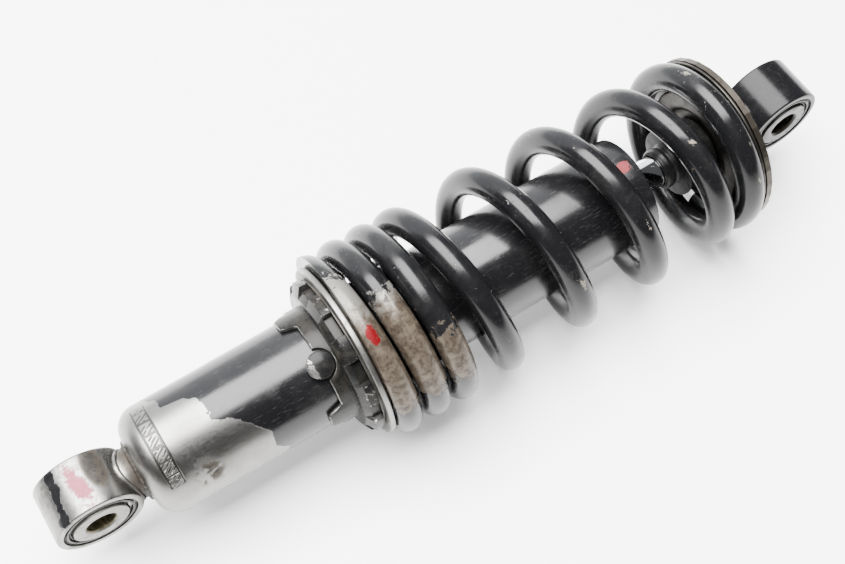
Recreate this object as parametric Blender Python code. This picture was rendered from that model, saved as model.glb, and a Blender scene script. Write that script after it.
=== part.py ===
"""Rear shock absorber of a motorcycle, lying on its spring with the lower eye at -X.

Units are metres, +Z is up and +X runs from the lower eye to the upper eye.  Lengths below are
typed in millimetres and multiplied by MM.  "Station" means a distance along the damper's axis,
measured from the centre of the lower eye.
"""
import math

import bmesh
import bpy
from mathutils import Matrix

MM = 0.001

# Driving dimensions -------------------------------------------------------------------------
EYE_TO_EYE = 335.0 * MM
EYE_RADIUS = 18.0 * MM
EYE_HALF_WIDTH = 11.4 * MM
BOLT_BORE_RADIUS = 6.1 * MM
TUBE_RADIUS = 23.3 * MM
TUBE_BORE_RADIUS = 20.5 * MM
ROD_RADIUS = 7.2 * MM
WIRE_RADIUS = 6.0 * MM
COIL_RADIUS = 36.35 * MM
END_COIL_RADIUS = 34.95 * MM
FIT_GAP = 0.3 * MM

# Places along the axis ------------------------------------------------------------------------
DOME_START = 21.2 * MM
TUBE_END = 257.0 * MM
SPRING_START = 116.9 * MM
SPRING_END = 299.7 * MM
BOSS_STATION = 100.3 * MM
PISTON_START = 188.0 * MM
GUIDE_START = 222.0 * MM

# The frame's origin is the middle of the bounding box's floor rectangle -------------------------
LOWER_EYE_X = -EYE_TO_EYE / 2
AXIS_HEIGHT = COIL_RADIUS + WIRE_RADIUS

WIDE_STEPS = 36
FINE_STEPS = 24
SHARP_ANGLE = math.radians(32)

# Colour, roughness and metallic value of each material ------------------------------------------
MATERIALS = {
    "black_paint": ((0.018, 0.018, 0.020), 0.22, 0.0),
    "spring_paint": ((0.022, 0.021, 0.021), 0.28, 0.0),
    "bare_steel": ((0.52, 0.50, 0.47), 0.32, 1.0),
    "worn_steel": ((0.30, 0.28, 0.25), 0.45, 1.0),
    "chrome": ((0.78, 0.79, 0.80), 0.06, 1.0),
    "aluminium": ((0.62, 0.62, 0.62), 0.35, 1.0),
    "bronze": ((0.42, 0.27, 0.12), 0.40, 1.0),
    "black_rubber": ((0.025, 0.025, 0.026), 0.70, 0.0),
    "black_plastic": ((0.035, 0.035, 0.037), 0.45, 0.0),
}


def clear_scene():
    for obj in list(bpy.data.objects):
        bpy.data.objects.remove(obj, do_unlink=True)


def material(name):
    """Principled material with the listed colour, roughness and metallic value."""
    found = bpy.data.materials.get(name)
    if found:
        return found
    colour, roughness, metallic = MATERIALS[name]
    made = bpy.data.materials.new(name)
    made.use_nodes = True
    shader = made.node_tree.nodes["Principled BSDF"]
    shader.inputs["Base Color"].default_value = (*colour, 1.0)
    shader.inputs["Roughness"].default_value = roughness
    shader.inputs["Metallic"].default_value = metallic
    return made


def finish_node(name, bm, look):
    """Turns a bmesh into a smooth-shaded object with its own copy of the material."""
    bmesh.ops.recalc_face_normals(bm, faces=bm.faces)
    mesh = bpy.data.meshes.new(name)
    bm.to_mesh(mesh)
    bm.free()
    return finish_mesh(name, mesh, look)


def finish_mesh(name, mesh, look):
    mesh.shade_smooth()
    mesh.set_sharp_from_angle(angle=SHARP_ANGLE)
    own = material(look).copy()
    own.name = name + "_" + look
    mesh.materials.clear()
    mesh.materials.append(own)
    obj = bpy.data.objects.new(name, mesh)
    bpy.context.scene.collection.objects.link(obj)
    return obj


def lathe_bmesh(profile, steps):
    """Spins a closed (station, radius) outline about the X axis."""
    bm = bmesh.new()
    corners = [bm.verts.new((station, 0.0, radius)) for station, radius in profile]
    edges = [bm.edges.new((corners[i], corners[i + 1])) for i in range(len(corners) - 1)]
    on_axis = profile[0][1] == 0.0 and profile[-1][1] == 0.0
    if not on_axis:
        edges.append(bm.edges.new((corners[-1], corners[0])))
    bmesh.ops.spin(bm, geom=corners + edges, cent=(0, 0, 0), axis=(1, 0, 0),
                   angle=2 * math.pi, steps=steps, use_merge=True)
    bmesh.ops.remove_doubles(bm, verts=bm.verts, dist=0.001 * MM)
    return bm


def along_damper(station=0.0):
    """Placement on the damper's axis with the local origin at the given station."""
    return Matrix.Translation((LOWER_EYE_X + station, 0.0, AXIS_HEIGHT))


def across_eye(station):
    """Placement that lays a lathed part's axis along Y, through an eye's centre."""
    return along_damper(station) @ Matrix.Rotation(math.radians(90), 4, "Z")


def lathe(name, profile, look, steps=WIDE_STEPS, place=None):
    obj = finish_node(name, lathe_bmesh(profile, steps), look)
    obj.matrix_world = place if place is not None else along_damper()
    return obj


def ring_profile(start, end, inner, outer, chamfer=0.0):
    """Rectangle in the (station, radius) plane with its outer corners chamfered."""
    if chamfer == 0.0:
        return [(start, inner), (start, outer), (end, outer), (end, inner)]
    return [(start, inner), (start, outer - chamfer), (start + chamfer, outer),
            (end - chamfer, outer), (end, outer - chamfer), (end, inner)]


def arc_points(centre, radius, start_degrees, end_degrees, count):
    """Points of an arc in the (station, radius) plane."""
    points = []
    for i in range(count):
        angle = math.radians(start_degrees + (end_degrees - start_degrees) * i / (count - 1))
        points.append((centre[0] + radius * math.cos(angle), centre[1] + radius * math.sin(angle)))
    return points


def boolean(target, tool, operation):
    """Applies an exact Boolean to the target's mesh and removes the tool."""
    modifier = target.modifiers.new("cut", "BOOLEAN")
    modifier.operation = operation
    modifier.solver = "EXACT"
    modifier.object = tool
    bpy.context.view_layer.update()
    graph = bpy.context.evaluated_depsgraph_get()
    result = bpy.data.meshes.new_from_object(target.evaluated_get(graph))
    target.modifiers.remove(modifier)
    target.data = result
    bpy.data.objects.remove(tool, do_unlink=True)


def restore_shading(obj, look_mesh_name):
    """Welds the Booleans' seams, then sets smooth shading and a single material slot."""
    mesh = obj.data
    mesh.name = look_mesh_name
    bm = bmesh.new()
    bm.from_mesh(mesh)
    bmesh.ops.remove_doubles(bm, verts=bm.verts, dist=0.01 * MM)
    bmesh.ops.dissolve_degenerate(bm, edges=bm.edges, dist=0.01 * MM)
    bm.to_mesh(mesh)
    bm.free()
    mesh.shade_smooth()
    mesh.set_sharp_from_angle(angle=SHARP_ANGLE)
    while len(mesh.materials) > 1:
        mesh.materials.pop(index=1)
    for polygon in mesh.polygons:
        polygon.material_index = 0


# Damper body ------------------------------------------------------------------------------------

def make_cylinder_tube():
    """Closed tube: domed foot at the lower eye, open end with a rolled lip and a clip groove."""
    corner = 9.8 * MM
    lip = 1.2 * MM
    floor_station = 36.0 * MM
    groove_start = 249.9 * MM
    groove_end = 251.6 * MM
    groove_radius = TUBE_BORE_RADIUS + 0.9 * MM
    dome = arc_points((DOME_START + corner, TUBE_RADIUS - corner), corner, 180, 90, 7)
    profile = [(DOME_START, 0.0)]
    profile += dome
    profile += [(TUBE_END - lip, TUBE_RADIUS), (TUBE_END, TUBE_RADIUS - lip)]
    profile += [(TUBE_END, TUBE_BORE_RADIUS), (groove_end, TUBE_BORE_RADIUS)]
    profile += [(groove_end, groove_radius), (groove_start, groove_radius)]
    profile += [(groove_start, TUBE_BORE_RADIUS), (floor_station + 4 * MM, TUBE_BORE_RADIUS)]
    profile += [(floor_station, TUBE_BORE_RADIUS - 4 * MM), (floor_station, 0.0)]
    return lathe("cylinder_tube", profile, "black_paint")


NECK_RADIUS = 10.2 * MM
NECK_FLARE = 1.8 * MM
EYE_BORE_RADIUS = 15.3 * MM
EYE_EDGE = 0.8 * MM


def make_eye(name, station, foot_station, look, socket_depth=0.0):
    """Eye ring across Y with a round neck that ends in a flared foot at foot_station."""
    side = 1.0 if foot_station > station else -1.0
    barrel = ring_profile(-EYE_HALF_WIDTH, EYE_HALF_WIDTH, 0.0, EYE_RADIUS, EYE_EDGE)
    eye = lathe(name, barrel, look, WIDE_STEPS, across_eye(station))
    start = station + side * 6.0 * MM
    flare_start = foot_station - side * 2.5 * MM
    neck = [(start, 0.0), (start, NECK_RADIUS), (flare_start, NECK_RADIUS),
            (foot_station, NECK_RADIUS + NECK_FLARE)]
    if socket_depth:
        socket_floor = foot_station - side * socket_depth
        neck += [(foot_station, ROD_RADIUS + FIT_GAP), (socket_floor, ROD_RADIUS + FIT_GAP),
                 (socket_floor, 0.0)]
    else:
        neck.append((foot_station, 0.0))
    boolean(eye, lathe("neck_tool", neck, look, FINE_STEPS), "UNION")
    reach = 2 * EYE_HALF_WIDTH
    bore = ring_profile(-reach, reach, 0.0, EYE_BORE_RADIUS)
    boolean(eye, lathe("bore_tool", bore, look, WIDE_STEPS, across_eye(station)), "DIFFERENCE")
    restore_shading(eye, name)
    return eye


SEAL_WIDTH = 2.6 * MM
SEAL_RECESS = 0.3 * MM
SLEEVE_RADIUS = 11.5 * MM
SLEEVE_PROUD = 0.4 * MM


def make_eye_fittings(prefix, station):
    """Bearing shell, two dust seals and the pivot sleeve inside one eye."""
    place = across_eye(station)
    outer = EYE_BORE_RADIUS - FIT_GAP
    inner = SLEEVE_RADIUS + FIT_GAP
    seal_outside = EYE_HALF_WIDTH - SEAL_RECESS
    seal_inside = seal_outside - SEAL_WIDTH
    shell_end = seal_inside - FIT_GAP
    lathe(prefix + "_bearing_shell", ring_profile(-shell_end, shell_end, inner, outer),
          "bronze", FINE_STEPS, place)
    lathe(prefix + "_seal_left", ring_profile(seal_inside, seal_outside, inner, outer),
          "black_rubber", FINE_STEPS, place)
    lathe(prefix + "_seal_right", ring_profile(-seal_outside, -seal_inside, inner, outer),
          "black_rubber", FINE_STEPS, place)
    half = EYE_HALF_WIDTH + SLEEVE_PROUD
    edge = 0.5 * MM
    sleeve = ring_profile(-half, half, BOLT_BORE_RADIUS, SLEEVE_RADIUS, edge)
    lathe(prefix + "_pivot_sleeve", sleeve, "bare_steel", FINE_STEPS, place)


BOSS_COUNT = 3
BOSS_RADIUS = 5.6 * MM
BOSS_TOP = 27.0 * MM
BOSS_DOME = 1.2 * MM
FIRST_BOSS_DEGREES = 112.5


def make_stop_bosses():
    """Domed round studs on the tube, which the preload collar's notches sit over."""
    foot = TUBE_RADIUS + FIT_GAP
    dome_steps = 4
    profile = [(foot, 0.0), (foot, BOSS_RADIUS)]
    for step in range(dome_steps + 1):
        share = 1.0 - step / dome_steps
        profile.append((BOSS_TOP - BOSS_DOME * share ** 2, BOSS_RADIUS * share))
    for i in range(BOSS_COUNT):
        angle = FIRST_BOSS_DEGREES + i * 360.0 / BOSS_COUNT
        # The lathe's axis is X: turn it to +Y, then about the damper's axis.
        outward = Matrix.Rotation(math.radians(angle), 4, "X")
        to_y = Matrix.Rotation(math.radians(90), 4, "Z")
        place = along_damper(BOSS_STATION) @ outward @ to_y
        lathe("stop_boss_%d" % (i + 1), profile, "worn_steel", 20, place)


GUIDE_RADIUS = TUBE_BORE_RADIUS - FIT_GAP


def make_rod_guide_set():
    """Everything that closes the tube's open end around the rod."""
    bush_outer = ROD_RADIUS + 1.5 * MM
    groove = (230.6 * MM, 234.4 * MM, 17.8 * MM)
    guide_end = 244.0 * MM
    guide = [(GUIDE_START, bush_outer), (GUIDE_START, GUIDE_RADIUS - 2 * MM),
             (GUIDE_START + 2 * MM, GUIDE_RADIUS), (groove[0], GUIDE_RADIUS),
             (groove[0], groove[2]), (groove[1], groove[2]), (groove[1], GUIDE_RADIUS),
             (guide_end, GUIDE_RADIUS), (guide_end, bush_outer)]
    lathe("rod_guide", guide, "aluminium", FINE_STEPS)
    lathe("guide_o_ring", ring_profile(groove[0] + FIT_GAP, groove[1] - FIT_GAP,
                                       groove[2] + 0.2 * MM, GUIDE_RADIUS, 0.5 * MM),
          "black_rubber", FINE_STEPS)
    bush = ring_profile(GUIDE_START + 1 * MM, guide_end - 1 * MM,
                        ROD_RADIUS + 0.3 * MM, bush_outer - FIT_GAP)
    lathe("guide_bush", bush, "bronze", FINE_STEPS)
    seal_end = 249.6 * MM
    seal = ring_profile(guide_end + FIT_GAP, seal_end, ROD_RADIUS + 0.3 * MM, GUIDE_RADIUS,
                        0.6 * MM)
    lathe("oil_seal", seal, "black_rubber", FINE_STEPS)
    cap_start = 251.9 * MM
    wiper_seat = 13.0 * MM
    cap_face = TUBE_END + 0.8 * MM
    cap = [(cap_start, wiper_seat), (cap_start, GUIDE_RADIUS), (TUBE_END, GUIDE_RADIUS),
           (cap_face, GUIDE_RADIUS - 1 * MM), (cap_face, wiper_seat)]
    lathe("body_end_cap", cap, "black_plastic", FINE_STEPS)
    wiper = [(cap_start, ROD_RADIUS + 0.6 * MM), (cap_start, wiper_seat - FIT_GAP),
             (cap_face - 1 * MM, wiper_seat - FIT_GAP), (cap_face, ROD_RADIUS + 1.6 * MM),
             (cap_face, ROD_RADIUS + 0.3 * MM), (cap_face - 2 * MM, ROD_RADIUS + 0.3 * MM)]
    lathe("dust_wiper", wiper, "black_rubber", FINE_STEPS)


def make_circlip():
    """Open wire clip in the tube's groove; its two ends stand apart at the bottom."""
    start = 250.15 * MM
    end = 251.35 * MM
    inner = 18.6 * MM
    outer = 21.1 * MM
    opening = math.radians(24)
    steps = 30
    bm = bmesh.new()
    section = [(start, inner), (start, outer), (end, outer), (end, inner)]
    corners = [bm.verts.new((x, 0.0, -r)) for x, r in section]
    face = bm.faces.new(corners)
    bmesh.ops.rotate(bm, verts=corners, cent=(0, 0, 0),
                     matrix=Matrix.Rotation(opening / 2, 3, "X"))
    bmesh.ops.spin(bm, geom=[face] + face.edges[:] + corners, cent=(0, 0, 0), axis=(1, 0, 0),
                   angle=2 * math.pi - opening, steps=steps)
    obj = finish_node("circlip", bm, "bare_steel")
    obj.matrix_world = along_damper()


def make_separator():
    """Floating piston between the gas and the oil, with its ring in a groove."""
    start = 62.0 * MM
    end = 77.0 * MM
    groove = (67.6 * MM, 71.4 * MM, 17.8 * MM)
    cup = 13.5 * MM
    piston = [(start + 6 * MM, 0.0), (start + 6 * MM, cup), (start, cup),
              (start, GUIDE_RADIUS - 1 * MM), (start + 1 * MM, GUIDE_RADIUS),
              (groove[0], GUIDE_RADIUS), (groove[0], groove[2]), (groove[1], groove[2]),
              (groove[1], GUIDE_RADIUS), (end - 1 * MM, GUIDE_RADIUS),
              (end, GUIDE_RADIUS - 1 * MM), (end, 0.0)]
    lathe("separator_piston", piston, "aluminium", FINE_STEPS)
    lathe("separator_o_ring", ring_profile(groove[0] + FIT_GAP, groove[1] - FIT_GAP,
                                           groove[2] + 0.2 * MM, GUIDE_RADIUS, 0.5 * MM),
          "black_rubber", FINE_STEPS)


# Preload adjuster and spring ----------------------------------------------------------------------

COLLAR_INNER = TUBE_RADIUS + 0.4 * MM
COLLAR_OUTER = 25.3 * MM
COLLAR_RIM_RADIUS = 34.5 * MM
COLLAR_FACE = 113.0 * MM
BEVEL_START = 107.0 * MM
BEVEL_FOOT_RADIUS = 30.0 * MM
RIM_START = 109.3 * MM
PLAIN_EDGE = 100.5 * MM
NOTCH_RADIUS = 7.2 * MM
NOTCH_CENTRE = 99.0 * MM
TONGUE_TIP = 94.3 * MM
TONGUE_TIP_HALF = 8.0
TONGUE_BASE_HALF = 17.0
SPANNER_SLOTS = 10
SLOT_HALF = 8.0
SLOT_WALL = 0.8
SLOT_DEPTH = 2.4 * MM


def angle_from_nearest(angle, first, count):
    """Signed angle in degrees to the nearest of `count` evenly spaced features."""
    spacing = 360.0 / count
    return (angle - first + spacing / 2) % spacing - spacing / 2


def collar_edge(angle):
    """Station of the collar's lower edge: notches over the bosses, tongues between them."""
    from_boss = abs(angle_from_nearest(angle, FIRST_BOSS_DEGREES, BOSS_COUNT))
    along = math.radians(from_boss) * COLLAR_OUTER
    if along < NOTCH_RADIUS:
        notch_top = NOTCH_CENTRE + math.sqrt(NOTCH_RADIUS ** 2 - along ** 2)
        return max(notch_top, PLAIN_EDGE)
    from_tongue = 180.0 / BOSS_COUNT - from_boss
    if from_tongue >= TONGUE_BASE_HALF:
        return PLAIN_EDGE
    slope = (TONGUE_BASE_HALF - from_tongue) / (TONGUE_BASE_HALF - TONGUE_TIP_HALF)
    return PLAIN_EDGE + min(1.0, slope) * (TONGUE_TIP - PLAIN_EDGE)


def collar_rim(angle):
    """Rim radius, lower inside the slots that a hook spanner turns the collar by."""
    first = FIRST_BOSS_DEGREES + 180.0 / SPANNER_SLOTS
    from_slot = abs(angle_from_nearest(angle, first, SPANNER_SLOTS))
    wall = min(1.0, max(0.0, (from_slot - SLOT_HALF) / SLOT_WALL))
    return COLLAR_RIM_RADIUS - SLOT_DEPTH * (1.0 - wall)


def collar_angles():
    """Even steps plus the corners of every slot and tongue, and finer steps over each notch."""
    angles = {4.0 * i for i in range(90)}
    notch_half = round(math.degrees(NOTCH_RADIUS / COLLAR_OUTER))
    for i in range(BOSS_COUNT):
        boss = FIRST_BOSS_DEGREES + i * 360.0 / BOSS_COUNT
        for offset in range(-notch_half, notch_half + 1, 2):
            angles.add(round((boss + offset) % 360.0, 3))
        tongue = boss + 180.0 / BOSS_COUNT
        for half in (TONGUE_TIP_HALF, TONGUE_BASE_HALF):
            angles.add(round((tongue - half) % 360.0, 3))
            angles.add(round((tongue + half) % 360.0, 3))
    for i in range(SPANNER_SLOTS):
        centre = FIRST_BOSS_DEGREES + (i + 0.5) * 360.0 / SPANNER_SLOTS
        for half in (SLOT_HALF, SLOT_HALF + SLOT_WALL):
            angles.add(round((centre - half) % 360.0, 3))
            angles.add(round((centre + half) % 360.0, 3))
    kept = []
    for angle in sorted(angles):
        if not kept or angle - kept[-1] > 0.3:
            kept.append(angle)
    return kept


def make_preload_collar():
    edge = 0.5 * MM
    rows = []
    bm = bmesh.new()
    for angle in collar_angles():
        low = collar_edge(angle)
        rim = collar_rim(angle)
        outline = [(low, COLLAR_INNER), (low, COLLAR_OUTER - edge), (low + edge, COLLAR_OUTER),
                   (BEVEL_START, COLLAR_OUTER), (BEVEL_START, BEVEL_FOOT_RADIUS),
                   (RIM_START, rim), (COLLAR_FACE - edge, rim),
                   (COLLAR_FACE, rim - edge), (COLLAR_FACE, COLLAR_INNER)]
        turn = math.radians(angle)
        rows.append([bm.verts.new((x, r * math.cos(turn), r * math.sin(turn)))
                     for x, r in outline])
    for i, row in enumerate(rows):
        following = rows[(i + 1) % len(rows)]
        for j in range(len(row)):
            k = (j + 1) % len(row)
            bm.faces.new((row[j], row[k], following[k], following[j]))
    obj = finish_node("preload_collar", bm, "worn_steel")
    obj.matrix_world = along_damper()


SEAT_FACE = SPRING_START - FIT_GAP
SEAT_RADIUS = 38.0 * MM
LOWER_PILOT_RADIUS = COIL_RADIUS - WIRE_RADIUS - 0.85 * MM
UPPER_PILOT_RADIUS = END_COIL_RADIUS - WIRE_RADIUS - 0.5 * MM


def make_spring_seat():
    """Stepped washer between the collar and the spring, with a pilot inside the first coil."""
    start = COLLAR_FACE + FIT_GAP
    disc_start = start + 0.6 * MM
    disc_end = SEAT_FACE - 0.6 * MM
    disc_edge = 0.3 * MM
    foot_radius = SEAT_RADIUS - 5.0 * MM
    step_radius = SEAT_RADIUS - 1.5 * MM
    inner = COLLAR_INNER + 0.2 * MM
    pilot_end = SEAT_FACE + 4 * MM
    profile = [(start, inner), (start, foot_radius), (disc_start, foot_radius),
               (disc_start, SEAT_RADIUS - disc_edge), (disc_start + disc_edge, SEAT_RADIUS),
               (disc_end - disc_edge, SEAT_RADIUS), (disc_end, SEAT_RADIUS - disc_edge),
               (disc_end, step_radius), (SEAT_FACE, step_radius),
               (SEAT_FACE, LOWER_PILOT_RADIUS), (pilot_end - 1 * MM, LOWER_PILOT_RADIUS),
               (pilot_end, LOWER_PILOT_RADIUS - 1 * MM), (pilot_end, inner)]
    lathe("spring_seat_ring", profile, "worn_steel")


# Spring winding: turns are counted from the coil centre that lies at FIRST_COIL.
FIRST_COIL = 120.0 * MM
FIRST_COIL_DEGREES = 112.0
WIRE_START_DEGREES = -75.0
WIRE_END_DEGREES = 2775.0
CLOSE_PITCH = 13.3 * MM
OPEN_PITCH = 36.6 * MM
TOP_PITCH = 6.0 * MM
OPENING_TURNS = (2.6, 3.0)
CLOSING_TURNS = (5.95, 7.0)
TAPER_TURNS = (5.2, 6.6)
STEP_DEGREES = 15.0
WIRE_SIDES = 10


def ramp(turns, limits, before, after):
    """Value that changes evenly from before to after between two turn counts."""
    share = (turns - limits[0]) / (limits[1] - limits[0])
    return before + min(1.0, max(0.0, share)) * (after - before)


def pitch_at(turns):
    """Advance per turn: close wound at both ends, wide in the middle."""
    if turns < CLOSING_TURNS[0]:
        return ramp(turns, OPENING_TURNS, CLOSE_PITCH, OPEN_PITCH)
    return ramp(turns, CLOSING_TURNS, OPEN_PITCH, TOP_PITCH)


def wire_section(centre, coil_radius):
    """(station, radius) points of the wire's section, cut off at the ground end faces.

    The points spread evenly over the arc that the grinding leaves, so that no edge folds.
    """
    whole = 180.0 * (WIRE_SIDES - 1) / WIRE_SIDES
    at_start = centre < (SPRING_START + SPRING_END) / 2
    height = centre - SPRING_START if at_start else SPRING_END - centre
    left = 90.0 + math.degrees(math.asin(min(1.0, max(-1.0, height / WIRE_RADIUS))))
    half_arc = min(left, whole)
    points = []
    for j in range(WIRE_SIDES):
        k = j if at_start else (j + WIRE_SIDES // 2) % WIRE_SIDES
        middle = 90.0 if at_start else 270.0
        around = math.radians(middle + half_arc * (2 * k / (WIRE_SIDES - 1) - 1))
        points.append((centre + WIRE_RADIUS * math.sin(around),
                       coil_radius + WIRE_RADIUS * math.cos(around)))
    return points


def make_main_spring():
    """Right-handed wire coil that narrows towards its upper end, with both ends ground flat."""
    bm = bmesh.new()
    rings = []
    start_turns = (WIRE_START_DEGREES - FIRST_COIL_DEGREES) / 360.0
    station = FIRST_COIL + start_turns * CLOSE_PITCH
    turns_per_step = STEP_DEGREES / 360.0
    steps = round((WIRE_END_DEGREES - WIRE_START_DEGREES) / STEP_DEGREES)
    for i in range(steps + 1):
        turn = math.radians(WIRE_START_DEGREES + i * STEP_DEGREES)
        turns = start_turns + i * turns_per_step
        coil_radius = ramp(turns, TAPER_TURNS, COIL_RADIUS, END_COIL_RADIUS)
        rings.append([bm.verts.new((x, radius * math.cos(turn), radius * math.sin(turn)))
                      for x, radius in wire_section(station, coil_radius)])
        station += pitch_at(turns + turns_per_step / 2) * turns_per_step
    for ring, following in zip(rings, rings[1:]):
        for j in range(WIRE_SIDES):
            k = (j + 1) % WIRE_SIDES
            bm.faces.new((ring[j], ring[k], following[k], following[j]))
    bm.faces.new(rings[0])
    bm.faces.new(rings[-1])
    obj = finish_node("main_spring", bm, "spring_paint")
    obj.matrix_world = along_damper()


# Upper seat and bump stop -------------------------------------------------------------------------

RETAINER_FACE = SPRING_END + FIT_GAP
RETAINER_BACK = 301.3 * MM
RETAINER_RADIUS = 38.6 * MM
PLATE_START = RETAINER_BACK + FIT_GAP
PLATE_END = 304.2 * MM
PLATE_RADIUS = 38.9 * MM
CUP_FLOOR = 294.0 * MM
CUP_BACK = 296.2 * MM
BUMP_NOSE = 272.5 * MM
ROD_HOLE = ROD_RADIUS + 0.4 * MM


def make_spring_retainer():
    """Upper seat disc with a dished hub that pilots the last coil."""
    hub_face = CUP_BACK + FIT_GAP
    hub_radius = 18.0 * MM
    wall = 2.2 * MM
    pilot = UPPER_PILOT_RADIUS
    profile = [(hub_face, ROD_HOLE), (hub_face, hub_radius),
               (hub_face - 2.5 * MM, hub_radius + 2 * MM), (hub_face - 2.5 * MM, pilot - 1 * MM),
               (hub_face - 1.5 * MM, pilot), (RETAINER_FACE, pilot),
               (RETAINER_FACE, RETAINER_RADIUS), (RETAINER_BACK, RETAINER_RADIUS),
               (RETAINER_BACK, pilot - wall), (hub_face + wall, pilot - wall - 1 * MM),
               (hub_face + wall, ROD_HOLE)]
    lathe("spring_retainer", profile, "worn_steel")


def make_retainer_plate():
    """Slotted keeper plate behind the retainer; the slot lets it slide over the rod."""
    plate = lathe("retainer_plate", ring_profile(PLATE_START, PLATE_END, ROD_HOLE, PLATE_RADIUS),
                  "worn_steel")
    slot = bpy.data.objects.new("slot_tool", bpy.data.meshes.new("slot_tool"))
    bpy.context.scene.collection.objects.link(slot)
    bm = bmesh.new()
    bmesh.ops.create_cube(bm, size=1.0)
    bm.to_mesh(slot.data)
    bm.free()
    depth = 45.0 * MM
    size = Matrix.Diagonal((8 * MM, 2 * ROD_HOLE, depth, 1.0))
    slot.matrix_world = along_damper(PLATE_START) @ Matrix.Translation((0, 0, -depth / 2)) @ size
    boolean(plate, slot, "DIFFERENCE")
    restore_shading(plate, "retainer_plate")


def make_bump_stop():
    """Slim rubber on the rod with a wide rim part way along, and the cup that backs it."""
    inner = ROD_HOLE
    end = CUP_FLOOR - FIT_GAP
    fat = 9.6 * MM
    thin = 8.6 * MM
    base = 11.5 * MM
    rim_radius = 15.5 * MM
    rim = BUMP_NOSE + 7.0 * MM
    profile = [(BUMP_NOSE, inner), (BUMP_NOSE, thin), (BUMP_NOSE + 1 * MM, fat - 0.4 * MM),
               (rim - 3.5 * MM, fat), (rim - 2.2 * MM, thin), (rim - 1 * MM, fat),
               (rim, fat), (rim, rim_radius), (rim + 1.5 * MM, rim_radius),
               (rim + 3.5 * MM, base), (rim + 7 * MM, base), (rim + 8.5 * MM, base - 1.5 * MM),
               (rim + 10 * MM, base), (end, base), (end, inner)]
    lathe("bump_stop", profile, "black_rubber", FINE_STEPS)
    lip_start = CUP_FLOOR - 3.5 * MM
    lip_inner = base + 0.4 * MM
    lip_outer = 14.5 * MM
    cup = [(CUP_FLOOR, inner), (CUP_FLOOR, lip_inner), (lip_start, lip_inner),
           (lip_start, lip_outer), (CUP_BACK - 1 * MM, lip_outer),
           (CUP_BACK, lip_outer - 1 * MM), (CUP_BACK, inner)]
    lathe("bump_cup", cup, "black_plastic", FINE_STEPS)


# Rod and piston -------------------------------------------------------------------------------------

SPIGOT_RADIUS = 4.5 * MM
PISTON_END = PISTON_START + 14.0 * MM
SHIM_HEIGHT = 1.8 * MM
SHOULDER = PISTON_END + SHIM_HEIGHT + 3 * FIT_GAP
EYE_FOOT = 304.6 * MM
SOCKET_DEPTH = 11.0 * MM


def make_piston_rod():
    start = PISTON_START - SHIM_HEIGHT - 8.0 * MM
    end = EYE_FOOT + SOCKET_DEPTH - FIT_GAP
    profile = [(start, 0.0), (start, SPIGOT_RADIUS - 0.5 * MM),
               (start + 0.5 * MM, SPIGOT_RADIUS), (SHOULDER, SPIGOT_RADIUS),
               (SHOULDER, ROD_RADIUS), (end - 1 * MM, ROD_RADIUS),
               (end, ROD_RADIUS - 1 * MM), (end, 0.0)]
    lathe("piston_rod", profile, "chrome", FINE_STEPS)


def make_piston():
    """Ported piston with a slide band in its groove."""
    groove = (PISTON_START + 3 * MM, PISTON_END - 3 * MM, 18.8 * MM)
    land = 19.9 * MM
    hole = SPIGOT_RADIUS + 0.25 * MM
    profile = [(PISTON_START, hole), (PISTON_START, land), (groove[0], land),
               (groove[0], groove[2]), (groove[1], groove[2]), (groove[1], land),
               (PISTON_END, land), (PISTON_END, hole)]
    piston = lathe("piston", profile, "aluminium", FINE_STEPS)
    ports = 6
    port_circle = 11.0 * MM
    port_radius = 1.8 * MM
    for i in range(ports):
        angle = 2 * math.pi * (i + 0.3) / ports
        port = ring_profile(PISTON_START - 2 * MM, PISTON_END + 2 * MM, 0.0, port_radius)
        tool = lathe("port_tool", port, "aluminium", 10)
        tool.matrix_world = along_damper() @ Matrix.Translation(
            (0.0, port_circle * math.cos(angle), port_circle * math.sin(angle)))
        boolean(piston, tool, "DIFFERENCE")
    restore_shading(piston, "piston")
    band = ring_profile(groove[0] + FIT_GAP, groove[1] - FIT_GAP, groove[2] + 0.2 * MM,
                        GUIDE_RADIUS)
    lathe("piston_band", band, "black_plastic", FINE_STEPS)


def make_shim_stack(name, face, direction):
    """Stack of thin discs, widest against the piston, drawn as one stepped washer."""
    hole = SPIGOT_RADIUS + 0.25 * MM
    discs = (14.5 * MM, 12.0 * MM, 9.5 * MM)
    step = direction * SHIM_HEIGHT / len(discs)
    profile = [(face, hole)]
    for i, radius in enumerate(discs):
        profile.append((face + i * step, radius))
        profile.append((face + (i + 1) * step, radius))
    profile.append((face + direction * SHIM_HEIGHT, hole))
    lathe(name, profile, "bare_steel", FINE_STEPS)


def make_piston_nut():
    """Hexagon nut: a six-sided lathe with a round hole."""
    end = PISTON_START - SHIM_HEIGHT - 2 * FIT_GAP
    start = end - 5.5 * MM
    corner_radius = 8.7 * MM
    nut = lathe("piston_nut", ring_profile(start, end, 0.0, corner_radius), "bare_steel", 6)
    hole = ring_profile(start - 1 * MM, end + 1 * MM, 0.0, SPIGOT_RADIUS + 0.25 * MM)
    boolean(nut, lathe("hole_tool", hole, "bare_steel", FINE_STEPS), "DIFFERENCE")
    restore_shading(nut, "piston_nut")


def make_top_out_bumper():
    """Rubber ring on the rod that cushions full extension."""
    start = SHOULDER + 0.4 * MM
    end = GUIDE_START - 8.8 * MM
    lathe("top_out_bumper", ring_profile(start, end, ROD_HOLE, 12.0 * MM, 1 * MM),
          "black_rubber", FINE_STEPS)


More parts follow.
